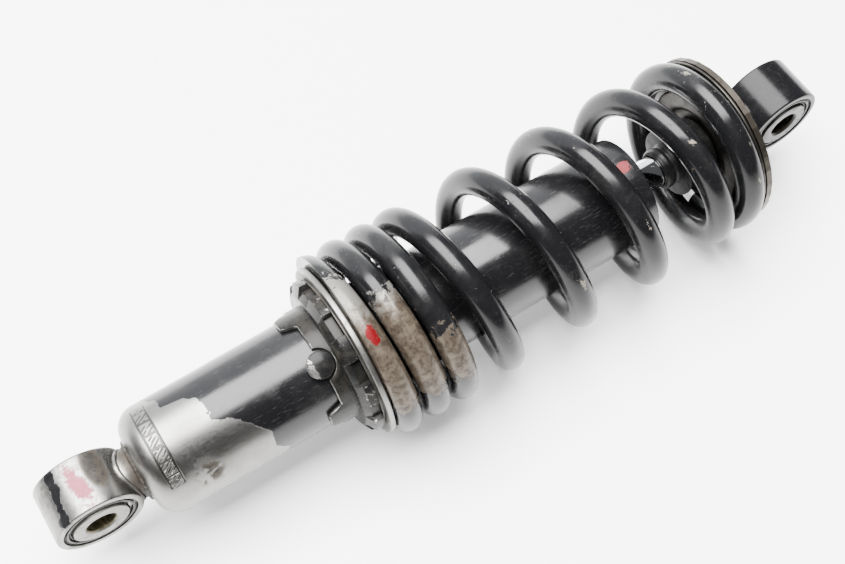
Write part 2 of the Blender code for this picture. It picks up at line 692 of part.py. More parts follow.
def main():
    clear_scene()
    make_cylinder_tube()
    make_eye("lower_eye", 0.0, DOME_START - FIT_GAP, "bare_steel")
    make_eye_fittings("lower", 0.0)
    make_stop_bosses()
    make_rod_guide_set()
    make_circlip()
    make_separator()
    make_preload_collar()
    make_spring_seat()
    make_main_spring()
    make_spring_retainer()
    make_retainer_plate()
    make_bump_stop()
    make_piston_rod()
    make_piston()
    make_shim_stack("rebound_shims", PISTON_START - FIT_GAP, -1.0)
    make_shim_stack("compression_shims", PISTON_END + FIT_GAP, 1.0)
    make_piston_nut()
    make_top_out_bumper()
    make_eye("upper_eye", EYE_TO_EYE, EYE_FOOT, "black_paint", SOCKET_DEPTH)
    make_eye_fittings("upper", EYE_TO_EYE)


main()
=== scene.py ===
"""Looks of the rear shock absorber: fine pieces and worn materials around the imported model.

Everything is in metres in the model's own frame: +X from the lower eye to the upper eye, +Z up,
floor at zero.  A "station" is a distance along the damper's axis from the lower eye's centre.
"""
import math

import bmesh
import bpy
from mathutils import Matrix, Vector, noise


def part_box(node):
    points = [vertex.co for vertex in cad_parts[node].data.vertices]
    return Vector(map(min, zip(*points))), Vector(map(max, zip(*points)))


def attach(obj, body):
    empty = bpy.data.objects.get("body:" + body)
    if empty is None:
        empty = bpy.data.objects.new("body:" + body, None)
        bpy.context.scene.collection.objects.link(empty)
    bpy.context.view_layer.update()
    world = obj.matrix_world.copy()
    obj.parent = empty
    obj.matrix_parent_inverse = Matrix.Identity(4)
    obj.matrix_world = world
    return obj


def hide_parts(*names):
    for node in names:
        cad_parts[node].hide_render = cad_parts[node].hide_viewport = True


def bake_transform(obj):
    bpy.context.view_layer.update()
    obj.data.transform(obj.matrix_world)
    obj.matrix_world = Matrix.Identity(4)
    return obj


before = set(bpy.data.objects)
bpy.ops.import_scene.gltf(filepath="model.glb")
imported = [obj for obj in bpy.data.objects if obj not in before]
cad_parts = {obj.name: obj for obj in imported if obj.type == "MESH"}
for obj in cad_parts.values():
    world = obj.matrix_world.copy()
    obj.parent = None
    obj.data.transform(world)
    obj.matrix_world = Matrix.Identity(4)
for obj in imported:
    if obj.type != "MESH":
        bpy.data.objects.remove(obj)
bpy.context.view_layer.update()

MM = 0.001


# Places and sizes read from the model ------------------------

def middle(node):
    low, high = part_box(node)
    return (Vector(low) + Vector(high)) / 2


def node_radius(node):
    """Radius of a part turned about the damper's axis."""
    low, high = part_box(node)
    return (high[1] - low[1]) / 2


LOWER_EYE = middle("lower_pivot_sleeve")
UPPER_EYE = middle("upper_pivot_sleeve")
AXIS_Z = LOWER_EYE.z


def station_of(x):
    return x - LOWER_EYE.x


def ends(node):
    """Stations of the two ends of a part."""
    low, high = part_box(node)
    return station_of(low[0]), station_of(high[0])


TUBE_START, TUBE_END = ends("cylinder_tube")
TUBE_RADIUS = node_radius("cylinder_tube")
SPRING_START, SPRING_END = ends("main_spring")
SPRING_OUTER = node_radius("main_spring")
EYE_RADIUS = (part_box("lower_eye")[1][2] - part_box("lower_eye")[0][2]) / 2
EYE_HALF_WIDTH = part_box("lower_pivot_sleeve")[1][1] - 0.4 * MM
EYE_BORE_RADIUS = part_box("lower_bearing_shell")[1][2] - AXIS_Z + 0.3 * MM
ROD_RADIUS = node_radius("piston_rod")
BOSS_STATION = station_of(middle("stop_boss_1").x)
FIRST_BOSS_DEGREES = 112.5
BOSS_COUNT = 3


# Shader building ---------------------------------------------

class Shader:
    """Small helper that wires the nodes of one Principled material."""

    def __init__(self, name):
        self.material = bpy.data.materials.new(name)
        self.material.use_nodes = True
        self.tree = self.material.node_tree
        self.surface = self.tree.nodes["Principled BSDF"]
        coordinates = self.tree.nodes.new("ShaderNodeTexCoord")
        self.place = coordinates.outputs["Object"]
        self.height = None

    def node(self, kind, **settings):
        made = self.tree.nodes.new(kind)
        for key, value in settings.items():
            setattr(made, key, value)
        return made

    def plug(self, socket, value):
        if isinstance(value, bpy.types.NodeSocket):
            self.tree.links.new(value, socket)
        else:
            socket.default_value = value

    def math(self, operation, first, second=0.0, third=0.0):
        made = self.node("ShaderNodeMath", operation=operation)
        for socket, value in zip(made.inputs, (first, second, third)):
            self.plug(socket, value)
        return made.outputs[0]

    def add(self, first, second):
        return self.math("ADD", first, second)

    def times(self, first, second):
        return self.math("MULTIPLY", first, second)

    def either(self, first, second):
        return self.math("MAXIMUM", first, second)

    def invert(self, value):
        return self.math("SUBTRACT", 1.0, value)

    def span(self, value, low, high, out_low=0.0, out_high=1.0, smooth=True):
        """Maps low..high to out_low..out_high, clamped."""
        made = self.node("ShaderNodeMapRange")
        made.interpolation_type = "SMOOTHSTEP" if smooth else "LINEAR"
        for socket, number in zip(made.inputs[:5], (value, low, high, out_low, out_high)):
            self.plug(socket, number)
        return made.outputs[0]

    def scaled(self, factors):
        """The object coordinates times a factor on each axis."""
        made = self.node("ShaderNodeVectorMath", operation="MULTIPLY")
        self.plug(made.inputs[0], self.place)
        made.inputs[1].default_value = factors
        return made.outputs[0]

    def noise(self, size, detail=4.0, rough=0.55, stretch=(1, 1, 1), warp=0.0):
        """Noise in 0..1 whose blobs are about `size` millimetres across."""
        made = self.node("ShaderNodeTexNoise")
        settings = {"Scale": 1.0, "Detail": detail, "Roughness": rough, "Distortion": warp}
        for key, value in settings.items():
            made.inputs[key].default_value = value
        self.plug(made.inputs["Vector"], self.scaled([s / (size * MM) for s in stretch]))
        return made.outputs["Fac"]

    def ragged(self, size, detail, rough, reach, low=0.2, warp=0.0):
        """Noise spread evenly over -reach..reach, to break up the edge of a patch."""
        blobs = self.noise(size, detail, rough, warp=warp)
        return self.span(blobs, low, 1.0 - low, -reach, reach, False)

    def cells(self, size):
        """Distance to the nearest of scattered points about `size` millimetres apart."""
        made = self.node("ShaderNodeTexVoronoi")
        made.inputs["Scale"].default_value = 1.0
        self.plug(made.inputs["Vector"], self.scaled([1 / (size * MM)] * 3))
        return made.outputs["Distance"]

    def attribute(self, name):
        made = self.node("ShaderNodeAttribute", attribute_name=name)
        return made.outputs["Fac"]

    def axes(self):
        split = self.node("ShaderNodeSeparateXYZ")
        self.plug(split.inputs[0], self.place)
        return split.outputs

    def colour(self, factor, first, second):
        """Mix of two colours (or colour sockets)."""
        made = self.node("ShaderNodeMix", data_type="RGBA")
        self.plug(made.inputs[0], factor)
        for socket, value in zip((made.inputs[6], made.inputs[7]), (first, second)):
            if not isinstance(value, bpy.types.NodeSocket):
                value = (*value, 1.0)
            self.plug(socket, value)
        return made.outputs[2]

    def raise_by(self, value, millimetres):
        """Adds value times that height to the bump height."""
        part = self.times(value, millimetres * MM)
        self.height = part if self.height is None else self.add(self.height, part)

    def finish(self, colour, roughness, metallic=0.0, specular=0.5):
        if not isinstance(colour, bpy.types.NodeSocket):
            colour = (*colour, 1.0)
        self.plug(self.surface.inputs["Base Color"], colour)
        self.plug(self.surface.inputs["Roughness"], roughness)
        self.plug(self.surface.inputs["Metallic"], metallic)
        self.surface.inputs["Specular IOR Level"].default_value = specular
        if self.height is not None:
            bump = self.node("ShaderNodeBump")
            bump.inputs["Distance"].default_value = 1.0
            self.plug(bump.inputs["Height"], self.height)
            self.plug(self.surface.inputs["Normal"], bump.outputs["Normal"])
        return self.material


BLACK = (0.004, 0.004, 0.0045)
BLACK_DUSTY = (0.016, 0.0155, 0.015)
PAINT_SPECULAR = 0.34
DULL_SPECULAR = 0.12
WIRE_SPECULAR = 0.22
STEEL = (0.185, 0.182, 0.175)
STEEL_DULL = (0.100, 0.097, 0.090)
STEEL_BROWN = (0.036, 0.030, 0.023)
GRIME = (0.0065, 0.0050, 0.0035)
RED_MARK = (0.10, 0.0004, 0.002)
CRIMSON_MARK = (0.095, 0.0004, 0.0025)
PINK_MARK = (0.25, 0.045, 0.075)


def scratches(shader, size, along=(1, 14, 14), sharp=0.62):
    """Thin bright lines: stretched noise cut close to its top."""
    lines = shader.noise(size, 3.0, 0.6, along, 0.4)
    return shader.span(lines, sharp, sharp + 0.05)


def bare_steel(shader, dirt, polish=0.30):
    """Colour and roughness of worn steel; dirt is 0 clean to 1 caked."""
    mottled = shader.noise(16, 5.0, 0.55)
    tone = shader.colour(shader.span(mottled, 0.38, 0.75, 0.0, 0.6), STEEL, STEEL_DULL)
    brown = shader.colour(shader.span(dirt, 0.2, 0.8), tone, STEEL_BROWN)
    colour = shader.colour(shader.span(dirt, 0.75, 1.0), brown, GRIME)
    fine = shader.noise(0.8, 3.0, 0.6)
    roughness = shader.add(shader.span(fine, 0.3, 0.7, polish - 0.03, polish + 0.06),
                           shader.times(dirt, 0.35))
    return colour, roughness


def gloss_black(shader, dust=0.5):
    """Colour and roughness of gloss paint with a dusty film and faint smears."""
    film = shader.noise(14, 6.0, 0.65, warp=0.5)
    speck = shader.span(shader.cells(1.9), 0.0, 0.14, 1.0, 0.0)
    dusty = shader.times(shader.span(film, 0.45, 0.8), dust)
    colour = shader.colour(dusty, BLACK, BLACK_DUSTY)
    colour = shader.colour(shader.times(speck, 0.05 * dust), colour, (0.25, 0.24, 0.22))
    roughness = shader.add(shader.span(film, 0.3, 0.8, 0.17, 0.29), shader.times(speck, 0.1))
    return colour, roughness


def painted_metal(name, wear_of, dirt_of=None, dust=0.5, polish=0.30, mark_of=None,
                  mark_colour=RED_MARK, pressed_of=None, specular=PAINT_SPECULAR):
    """Black paint over steel. wear_of(shader) is 1 where the steel shows."""
    shader = Shader(name)
    wear = wear_of(shader)
    dirt = dirt_of(shader) if dirt_of else shader.span(shader.noise(9), 0.5, 0.9, 0.0, 0.5)
    steel, steel_rough = bare_steel(shader, dirt, polish)
    paint, paint_rough = gloss_black(shader, dust)
    scratch = scratches(shader, 5)
    colour = shader.colour(wear, paint, steel)
    colour = shader.colour(shader.times(scratch, 0.05), colour, (0.35, 0.34, 0.33))
    rough = shader.add(shader.times(wear, steel_rough),
                       shader.times(shader.invert(wear), paint_rough))
    metallic = shader.times(wear, shader.span(dirt, 0.4, 1.0, 1.0, 0.15))
    if mark_of:
        mark = mark_of(shader)
        colour = shader.colour(mark, colour, mark_colour)
        rough = shader.add(rough, shader.times(mark, 0.35))
        metallic = shader.times(metallic, shader.invert(mark))
        shader.raise_by(mark, 0.05)
    if pressed_of:
        pressed = pressed_of(shader)
        colour = shader.colour(shader.times(pressed, 0.7), colour, GRIME)
        shader.raise_by(pressed, -0.40)
    shader.raise_by(shader.invert(wear), 0.09)
    shader.raise_by(shader.noise(9, 2.0, 0.5), 0.012)
    shader.raise_by(scratch, -0.003)
    return shader.finish(colour, rough, metallic, specular)


def small_chips(shader):
    """Mask of a few small chips."""
    return shader.span(shader.noise(7, 5.0, 0.7), 0.735, 0.75)


def edge_wear(shader, least):
    """Steel where the mesh's `edge` value, broken up by noise, is at least that high."""
    broken = shader.add(shader.attribute("edge"), shader.ragged(2.5, 5.0, 0.7, 0.45))
    return shader.span(broken, least, least + 0.05)


# Mesh building -----------------------------------------------

def link(obj):
    bpy.context.scene.collection.objects.link(obj)
    return obj


def make_piece(name, points, faces, material, sharp_degrees=40.0):
    """Mesh object with smooth shading, its faces turned outwards."""
    mesh = bpy.data.meshes.new(name)
    mesh.from_pydata(points, [], faces)
    bm = bmesh.new()
    bm.from_mesh(mesh)
    bmesh.ops.recalc_face_normals(bm, faces=bm.faces)
    bm.to_mesh(mesh)
    bm.free()
    mesh.shade_smooth()
    mesh.set_sharp_from_angle(angle=math.radians(sharp_degrees))
    mesh.materials.append(material)
    return link(bpy.data.objects.new(name, mesh))


def grid_faces(rings, sides, closed):
    """Faces between neighbouring rings of points, and from last to first if it is closed."""
    faces = []
    for i in range(rings if closed else rings - 1):
        k = (i + 1) % rings
        for j in range(sides):
            m = (j + 1) % sides
            faces.append([i * sides + j, i * sides + m, k * sides + m, k * sides + j])
    return faces


def store(obj, name, values):
    """Keeps one number per vertex for the material to read."""
    attribute = obj.data.attributes.new(name, "FLOAT", "POINT")
    attribute.data.foreach_set("value", values)


def store_all(obj, marks):
    """Keeps every named list of numbers in marks."""
    for name, values in marks.items():
        store(obj, name, values)


def store_each(obj, name, value_at):
    """Keeps the number that value_at gives for each vertex's place."""
    store(obj, name, [value_at(vertex.co) for vertex in obj.data.vertices])


def off_bolt_axis(place, centre):
    """Distance of a place from the bolt axis of the eye with that centre."""
    return math.hypot(place.x - centre.x, place.z - centre.z)


def fillet(before, corner, after, radius, count=5):
    """Points of a rounded corner in the (station, radius) plane."""
    corner_point = Vector(corner)
    to_before = Vector(before) - corner_point
    to_after = Vector(after) - corner_point
    reach = min(radius, 0.48 * to_before.length, 0.48 * to_after.length)
    start = corner_point + to_before.normalized() * reach
    end = corner_point + to_after.normalized() * reach
    points = []
    for i in range(count):
        t = i / (count - 1)
        points.append((1 - t) ** 2 * start + 2 * t * (1 - t) * corner_point + t ** 2 * end)
    return [tuple(point) for point in points]


def rounded(outline, radius):
    """Rounds every corner of a closed outline that doesn't lie on the axis."""
    points = []
    for i, corner in enumerate(outline):
        own = corner[2] if len(corner) > 2 else radius
        before = outline[i - 1]
        after = outline[(i + 1) % len(outline)]
        if corner[1] == 0.0 or own == 0.0:
            points.append((corner[0], corner[1]))
        else:
            points += fillet(before[:2], corner[:2], after[:2], own)
    return points


def along_damper(station, radius, degrees):
    """Place at a station, a radius and an angle about the damper's axis; 90 degrees is up."""
    turn = math.radians(degrees)
    return (LOWER_EYE.x + station, radius * math.cos(turn), AXIS_Z + radius * math.sin(turn))


def across_eye(centre):
    """Places (station, radius, angle) of a part turned about an eye's bolt axis, along Y."""
    def place(station, radius, degrees):
        turn = math.radians(degrees)
        return (centre.x + radius * math.cos(turn), centre.y + station,
                centre.z + radius * math.sin(turn))
    return place


def turned(name, outline, material, steps=128, place=along_damper, shape=None):
    """Surface of revolution of a closed outline, or of one whose two ends lie on the axis.

    shape(station, radius, degrees) may move a point before it is placed."""
    closed = outline[0][1] != 0.0
    points = []
    rows = []
    for station, radius in outline:
        if radius == 0.0:
            rows.append([len(points)] * steps)
            points.append(place(station, 0.0, 0.0))
            continue
        row = []
        for i in range(steps):
            degrees = 360.0 * i / steps
            moved = shape(station, radius, degrees) if shape else (station, radius)
            row.append(len(points))
            points.append(place(moved[0], moved[1], degrees))
        rows.append(row)
    faces = []
    pairs = list(zip(rows, rows[1:]))
    if closed:
        pairs.append((rows[-1], rows[0]))
    for row, following in pairs:
        for i in range(steps):
            k = (i + 1) % steps
            corners = [row[i], row[k], following[k], following[i]]
            unique = list(dict.fromkeys(corners))
            if len(unique) > 2:
                faces.append(unique)
    return make_piece(name, points, faces, material)


def angle_from_nearest(degrees, first, count):
    """Signed angle from the nearest of count evenly spaced places, the first one given."""
    spacing = 360.0 / count
    return (degrees - first + spacing / 2) % spacing - spacing / 2


def rough_value(point, size):
    """Smooth random value in about -1..1 at a point."""
    return noise.noise(Vector(point) / size + Vector((0.0, 0.0, 7.7)))


# Damper tube -------------------------------------------------

# Angle round the tube in degrees, and the station in millimetres where the paint starts there.
WEAR_EDGE = ((20.0, 34.0), (32.0, 34.5), (58.0, 39.9), (68.0, 41.1), (71.0, 48.7), (78.0, 53.1),
             (86.0, 55.0), (105.0, 55.5), (115.0, 61.2), (128.0, 67.0), (145.0, 71.5),
             (161.0, 71.4), (181.0, 75.0), (230.0, 72.0), (290.0, 52.0), (340.0, 36.0))
# Name, strength, station, angle, and reach along and around of each patch on the tube.
TUBE_PATCHES = (("speckle", 1.0, 59.0, 112.0, 7.0, 14.0),
                ("smudge", 1.6, 44.0, 150.0, 9.0, 20.0),
                ("red", 1.0, 250.5, 92.0, 5.5, 10.0))


def ramp(value, limits, before, after):
    """Number that changes evenly from before to after between two limits."""
    share = (value - limits[0]) / (limits[1] - limits[0])
    return before + min(1.0, max(0.0, share)) * (after - before)


def follow_points(pairs, value):
    """Straight-line reading between (value, result) pairs."""
    if value <= pairs[0][0]:
        return pairs[0][1]
    for (low, first), (high, second) in zip(pairs, pairs[1:]):
        if value <= high:
            return first + (second - first) * (value - low) / (high - low)
    return pairs[-1][1]


def tube_wear(shader):
    """Steel below the ragged edge of the paint, stored on the mesh in millimetres."""
    below = shader.attribute("bare")
    wavy = shader.add(below, shader.ragged(13, 2.0, 0.5, 1.6, low=0.3, warp=0.8))
    nibbled = shader.add(wavy, shader.ragged(3.5, 4.0, 0.65, 1.2))
    return shader.either(shader.span(nibbled, 0.0, 0.25), small_chips(shader))


def tube_dirt(shader):
    """Two dirty places on the bare steel and a faint film all over it."""
    smudge = shader.times(shader.attribute("smudge"),
                          shader.span(shader.noise(7, 5.0, 0.6, warp=1.0), 0.35, 0.6))
    speckle = shader.span(shader.noise(1.1, 4.0, 0.8), 0.55, 0.62)
    patch = shader.times(shader.attribute("speckle"), speckle)
    film = shader.span(shader.noise(20, 5.0, 0.6), 0.5, 0.8, 0.0, 0.22)
    return shader.either(shader.either(smudge, patch), film)


def make_tube():
    """Tube with a rounded foot, closely divided so that the patches of wear can follow it."""
    corner = 9.8 * MM
    lip = 1.6 * MM
    inner = TUBE_RADIUS - 2.4 * MM
    bore_end = 41.0 * MM
    outline = [(TUBE_START, 0.0), (TUBE_START, 6.0 * MM)]
    dome = (TUBE_START + corner, TUBE_RADIUS - corner)
    dome_steps = 14
    for i in range(dome_steps + 1):
        turn = math.radians(180 - 90 * i / dome_steps)
        outline.append((dome[0] + corner * math.cos(turn), dome[1] + corner * math.sin(turn)))
    rows = 56
    for i in range(1, rows):
        outline.append((dome[0] + (TUBE_END - lip - dome[0]) * i / rows, TUBE_RADIUS))
    outline += fillet((TUBE_END - lip, TUBE_RADIUS), (TUBE_END, TUBE_RADIUS), (TUBE_END, inner), lip)
    outline += [(TUBE_END, inner + 0.2 * MM), (TUBE_END - 4 * MM, inner),
                (bore_end, inner), (bore_end, 0.0)]
    material = painted_metal("tube_paint_worn", tube_wear, tube_dirt, 0.45, 0.32,
                             tube_mark, RED_MARK, pressed_of=stamped_cells)
    tube = turned("damper_tube", outline, material, 192)
    store_each(tube, "bare", bare_length)
    for name, gain, station, degrees, reach, reach_degrees in TUBE_PATCHES:
        store_each(tube, name, lambda place: min(1.0, gain * bump_at(
            place, station, degrees, reach, reach_degrees)))
    store_each(tube, "stamp", stamped_arc)
    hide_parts("cylinder_tube")
    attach(tube, "damper_body")


def on_tube(place):
    """Station in millimetres and angle in degrees of a place on the tube."""
    degrees = math.degrees(math.atan2(place.z - AXIS_Z, place.y)) % 360.0
    return station_of(place.x) / MM, degrees


def bare_length(place):
    """Millimetres from a place up to the edge of the paint, below 0 where it is painted."""
    station, degrees = on_tube(place)
    first = WEAR_EDGE[0][0]
    reading = degrees if degrees > first else degrees + 360.0
    return follow_points(WEAR_EDGE + ((first + 360.0, WEAR_EDGE[0][1]),), reading) - station


def stamped_arc(place):
    """1 where the pressed band shows, falling to 0 at the two ends of its arc."""
    middle_degrees = 97.5
    half_arc = 48.0
    degrees = on_tube(place)[1]
    return max(0.0, 1.0 - (abs(degrees - middle_degrees) / half_arc) ** 12)


def bump_at(place, centre, centre_degrees, reach, reach_degrees):
    """1 at a station and angle on the tube, falling to 0 at the reach along and around."""
    station, degrees = on_tube(place)
    turn = (degrees - centre_degrees + 180.0) % 360.0 - 180.0
    distance = math.hypot((station - centre) / reach, turn / reach_degrees)
    return max(0.0, 1.0 - distance)


def tube_mark(shader):
    """A dab of red marking paint with a rough outline."""
    dab = shader.add(shader.attribute("red"), shader.ragged(2.6, 4.0, 0.7, 0.3))
    return shader.span(dab, 0.30, 0.38)


def stamped_cells(shader):
    """Pressed band of framed cells round the tube's foot, filled with plain slanting strokes."""
    band = (29.2 * MM, 34.8 * MM)
    cell = 6.0 * MM
    stroke_gap = 0.9 * MM
    slant = 0.7
    line = 0.42 * MM
    thin, wide = line * 0.6, line * 1.4
    x, y, z = shader.axes()
    around = shader.times(shader.math("ARCTAN2", shader.math("SUBTRACT", z, AXIS_Z), y), TUBE_RADIUS)
    along = shader.math("SUBTRACT", x, LOWER_EYE.x)
    off_wall = shader.math("PINGPONG", around, cell / 2)
    frame_lines = shader.span(off_wall, thin, wide, 1.0, 0.0)
    for edge in band:
        distance = shader.math("ABSOLUTE", shader.math("SUBTRACT", along, edge))
        frame_lines = shader.either(frame_lines, shader.span(distance, thin, wide, 1.0, 0.0))
    from_middle = shader.math("ABSOLUTE", shader.math("SUBTRACT", along, (band[0] + band[1]) / 2))
    half_band = (band[1] - band[0]) / 2
    inside = shader.span(from_middle, half_band, half_band + wide, 1.0, 0.0)
    slanted = shader.math("PINGPONG", shader.add(around, shader.times(along, slant)), stroke_gap)
    strokes = shader.span(slanted, thin, wide, 1.0, 0.0)
    broken = shader.span(shader.noise(2.4, 2.0, 0.5), 0.44, 0.52)
    marks = shader.either(frame_lines, shader.times(strokes, broken))
    return shader.times(shader.times(marks, inside), shader.attribute("stamp"))


# Eyes --------------------------------------------------------

def eye_barrel_outline():
    """Ring section, with points across its outer face for the patches of paint to follow."""
    half = EYE_HALF_WIDTH
    rows = 24
    across = [(-half + 2 * half * i / rows, EYE_RADIUS, 0.0) for i in range(3, rows - 2)]
    return rounded([(-half, EYE_BORE_RADIUS, 0.4 * MM), (-half, EYE_RADIUS, 0.9 * MM)] + across
                   + [(half, EYE_RADIUS, 0.9 * MM), (half, EYE_BORE_RADIUS, 0.4 * MM)], 0.5 * MM)


def neck_outline(start, foot, radius, foot_radius):
    """Waisted neck from inside the eye's wall to the foot station."""
    points = [(start, 0.0)]
    count = 14
    for i in range(count + 1):
        t = i / count
        waist = (2 * t - 0.7) ** 2 * 0.5
        points.append((start + (foot - start) * t, radius + (foot_radius - radius) * waist))
    points.append((foot, 0.0))
    return points


def weld_bead(name, centre, side, neck_radius, material):
    """Bead along the line where a round neck meets the eye's barrel."""
    steps = 96
    sides = 12
    bead = 1.1 * MM
    points = []
    for i in range(steps):
        turn = 2 * math.pi * i / steps
        y = neck_radius * math.cos(turn)
        z = neck_radius * math.sin(turn)
        x = side * math.sqrt(EYE_RADIUS ** 2 - z ** 2)
        middle_point = Vector((centre.x + x, centre.y + y, centre.z + z))
        outward = Vector((0.0, math.cos(turn), math.sin(turn)))
        along = Vector((side, 0.0, 0.0))
        thick = bead * (1.0 + 0.25 * rough_value(middle_point, 3 * MM))
        for j in range(sides):
            around = 2 * math.pi * j / sides
            points.append(middle_point + thick * (math.cos(around) * outward + math.sin(around) * along))
    return make_piece(name, points, grid_faces(steps, sides, True), material)


def lower_eye_wear(shader):
    """Nearly all steel: old paint is left in a ragged band."""
    left = shader.add(shader.attribute("paint_left"), shader.ragged(5, 3.0, 0.6, 0.45, low=0.25))
    return shader.span(left, 0.48, 0.51, 1.0, 0.0)


def lower_eye_dirt(shader):
    """Faint smears, and grime beside and on the neck."""
    smear = shader.span(shader.noise(8, 5.0, 0.65, warp=1.2), 0.40, 0.75, 0.05, 0.60)
    mottled = shader.span(shader.noise(2.6, 5.0, 0.7), 0.30, 0.70, 0.86, 1.15, False)
    return shader.either(smear, shader.times(shader.attribute("grime"), mottled))


def pink_mark(shader):
    """A thin, patchy dab of pink marking paint."""
    dab = shader.add(shader.attribute("red"), shader.ragged(2.2, 5.0, 0.75, 0.55))
    return shader.times(shader.span(dab, 0.30, 0.75), 0.9)


def eye_patch(x, across, centre, reach, lean=0.0):
    """1 in the middle of a patch on the barrel, 0 at its reach; x is in millimetres from the
    bolt axis, and across runs from -1 to 1 over the barrel's width."""
    along = (x - centre[0] - lean * across) / reach[0]
    return 1.0 - math.hypot(along, (across - centre[1]) / reach[1])


def mark_lower_eye(obj, centre):
    """Stores where the lower eye's grime, old paint and pink mark are."""
    marks = {"grime": [], "paint_left": [], "red": []}
    for vertex in obj.data.vertices:
        offset = vertex.co - centre
        x = offset.x / MM
        across = offset.y / EYE_HALF_WIDTH
        neck = ramp(x, (14.5, 18.5), 0.0, 1.0)
        low = 0.5 + 0.5 * max(-1.0, min(1.0, -offset.z / EYE_RADIUS))
        upper = 1.0 if offset.z > 0.0 and x < 12.0 else 0.0
        band = 1.0 - abs(x + 9.3 - 1.2 * across) / 3.6
        patch = eye_patch(x, across, (8.0, 0.35), (5.5, 1.1))
        dab = eye_patch(x, across, (0.3, -0.05), (4.4, 0.95), lean=-1.5)
        on_neck = min(1.0, neck * (0.7 + 0.6 * low))
        marks["grime"].append(max(on_neck, min(0.9, 2.0 * upper * patch)))
        marks["paint_left"].append(upper * max(0.0, band))
        marks["red"].append(upper * max(0.0, 0.2 + dab))
    store_all(obj, marks)


def make_lower_eye():
    """Barrel, waisted neck, and the welds at both ends of the neck."""
    material = painted_metal("lower_eye_steel", lower_eye_wear, lower_eye_dirt, 0.3, 0.26,
                             pink_mark, PINK_MARK)
    place = across_eye(LOWER_EYE)
    barrel = turned("lower_eye_barrel", eye_barrel_outline(), material, 160, place)
    foot = TUBE_START + 0.4 * MM
    neck_radius = 10.4 * MM
    neck = turned("lower_eye_neck", neck_outline(12.0 * MM, foot, neck_radius, 12.2 * MM),
                  material, 96)
    bead = weld_bead("lower_eye_bead", LOWER_EYE, 1.0, neck_radius, material)
    weld = turned("lower_eye_weld", rounded(
        [(TUBE_START - 1.6 * MM, 9.0 * MM), (TUBE_START - 1.2 * MM, 12.3 * MM, 1 * MM),
         (TUBE_START + 0.6 * MM, 13.4 * MM, 1 * MM), (TUBE_START + 0.8 * MM, 9.0 * MM)], 0.5 * MM),
        material, 160, shape=lumpy_weld)
    for piece in (barrel, neck, bead, weld):
        mark_lower_eye(piece, LOWER_EYE)
        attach(piece, "damper_body")
    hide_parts("lower_eye")


def lumpy_weld(station, radius, degrees):
    """Overlapping weld ripples round the neck's foot."""
    ripple = abs(math.sin(math.radians(degrees * 17))) * 0.30 * MM
    wobble = 0.35 * MM * rough_value((station, degrees * 0.0006, radius), 4 * MM)
    return station, radius + ripple + wobble


def make_upper_eye():
    """Barrel, short neck and the weld between them, all in black paint."""
    material = painted_metal("upper_eye_paint", upper_eye_wear, None, 0.35, 0.32,
                             specular=DULL_SPECULAR)
    barrel = turned("upper_eye_barrel", eye_barrel_outline(), material, 160, across_eye(UPPER_EYE))
    foot = ends("upper_eye")[0]
    top = station_of(UPPER_EYE.x) - 12.0 * MM
    neck = turned("upper_eye_neck", neck_outline(foot, top, 10.9 * MM, 11.1 * MM), material, 96)
    bead = weld_bead("upper_eye_bead", UPPER_EYE, -1.0, 10.6 * MM, material)
    store_each(barrel, "edge", upper_eye_edge)
    for piece in (barrel, neck, bead):
        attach(piece, "rod_assembly")
    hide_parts("upper_eye")


def upper_eye_edge(place):
    """Wear that starts close to the barrel's two end faces."""
    out = abs(place.y - UPPER_EYE.y) / EYE_HALF_WIDTH
    return 0.30 * max(0.0, (out - 0.955) / 0.045)


def upper_eye_wear(shader):
    """Worn through at the barrel's ends and in small chips."""
    return shader.either(edge_wear(shader, 0.55), small_chips(shader))


def seal_material(name):
    """Dusty rubber lip with a thin metal ring near its outside."""
    shader = Shader(name)
    metal = shader.attribute("edge")
    dust = shader.span(shader.noise(2.5, 5.0, 0.7), 0.4, 0.8)
    rubber = shader.colour(dust, (0.004, 0.004, 0.004), (0.022, 0.020, 0.018))
    colour = shader.colour(metal, rubber, (0.040, 0.038, 0.035))
    rough = shader.span(dust, 0.0, 1.0, 0.45, 0.75)
    shader.raise_by(shader.noise(0.7), 0.02)
    return shader.finish(colour, rough, metal, DULL_SPECULAR)


def make_seals(prefix, centre, body):
    """Dust seals: a grooved rubber ring in a thin metal case, one on each side."""
    material = seal_material(prefix + "_seal_rubber")
    outer = EYE_BORE_RADIUS - 0.3 * MM
    inner = 11.75 * MM
    ring_middle = 13.65 * MM
    ring_half = 0.45 * MM
    face = EYE_HALF_WIDTH - 0.3 * MM
    back = face - 2.6 * MM
    for side, word in ((1.0, "left"), (-1.0, "right")):
        outline = [(back, inner), (face - 1.1 * MM, inner), (face - 0.5 * MM, inner + 0.35 * MM),
                   (face - 0.5 * MM, inner + 0.8 * MM), (face - 1.1 * MM, inner + 1.0 * MM),
                   (face - 1.1 * MM, ring_middle - 0.6 * MM), (face, ring_middle - ring_half),
                   (face, ring_middle + ring_half), (face - 0.7 * MM, ring_middle + 0.6 * MM),
                   (face - 0.7 * MM, outer - 0.4 * MM), (face - 0.3 * MM, outer), (back, outer)]
        outline = [(side * station, radius) for station, radius in rounded(outline, 0.12 * MM)]
        seal = turned("%s_dust_seal_%s" % (prefix, word), outline, material, 128, across_eye(centre))
        store_each(seal, "edge", lambda place: float(
            abs(off_bolt_axis(place, centre) - ring_middle) < ring_half + 0.05 * MM))
        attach(seal, body)
        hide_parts("%s_seal_%s" % (prefix, word))


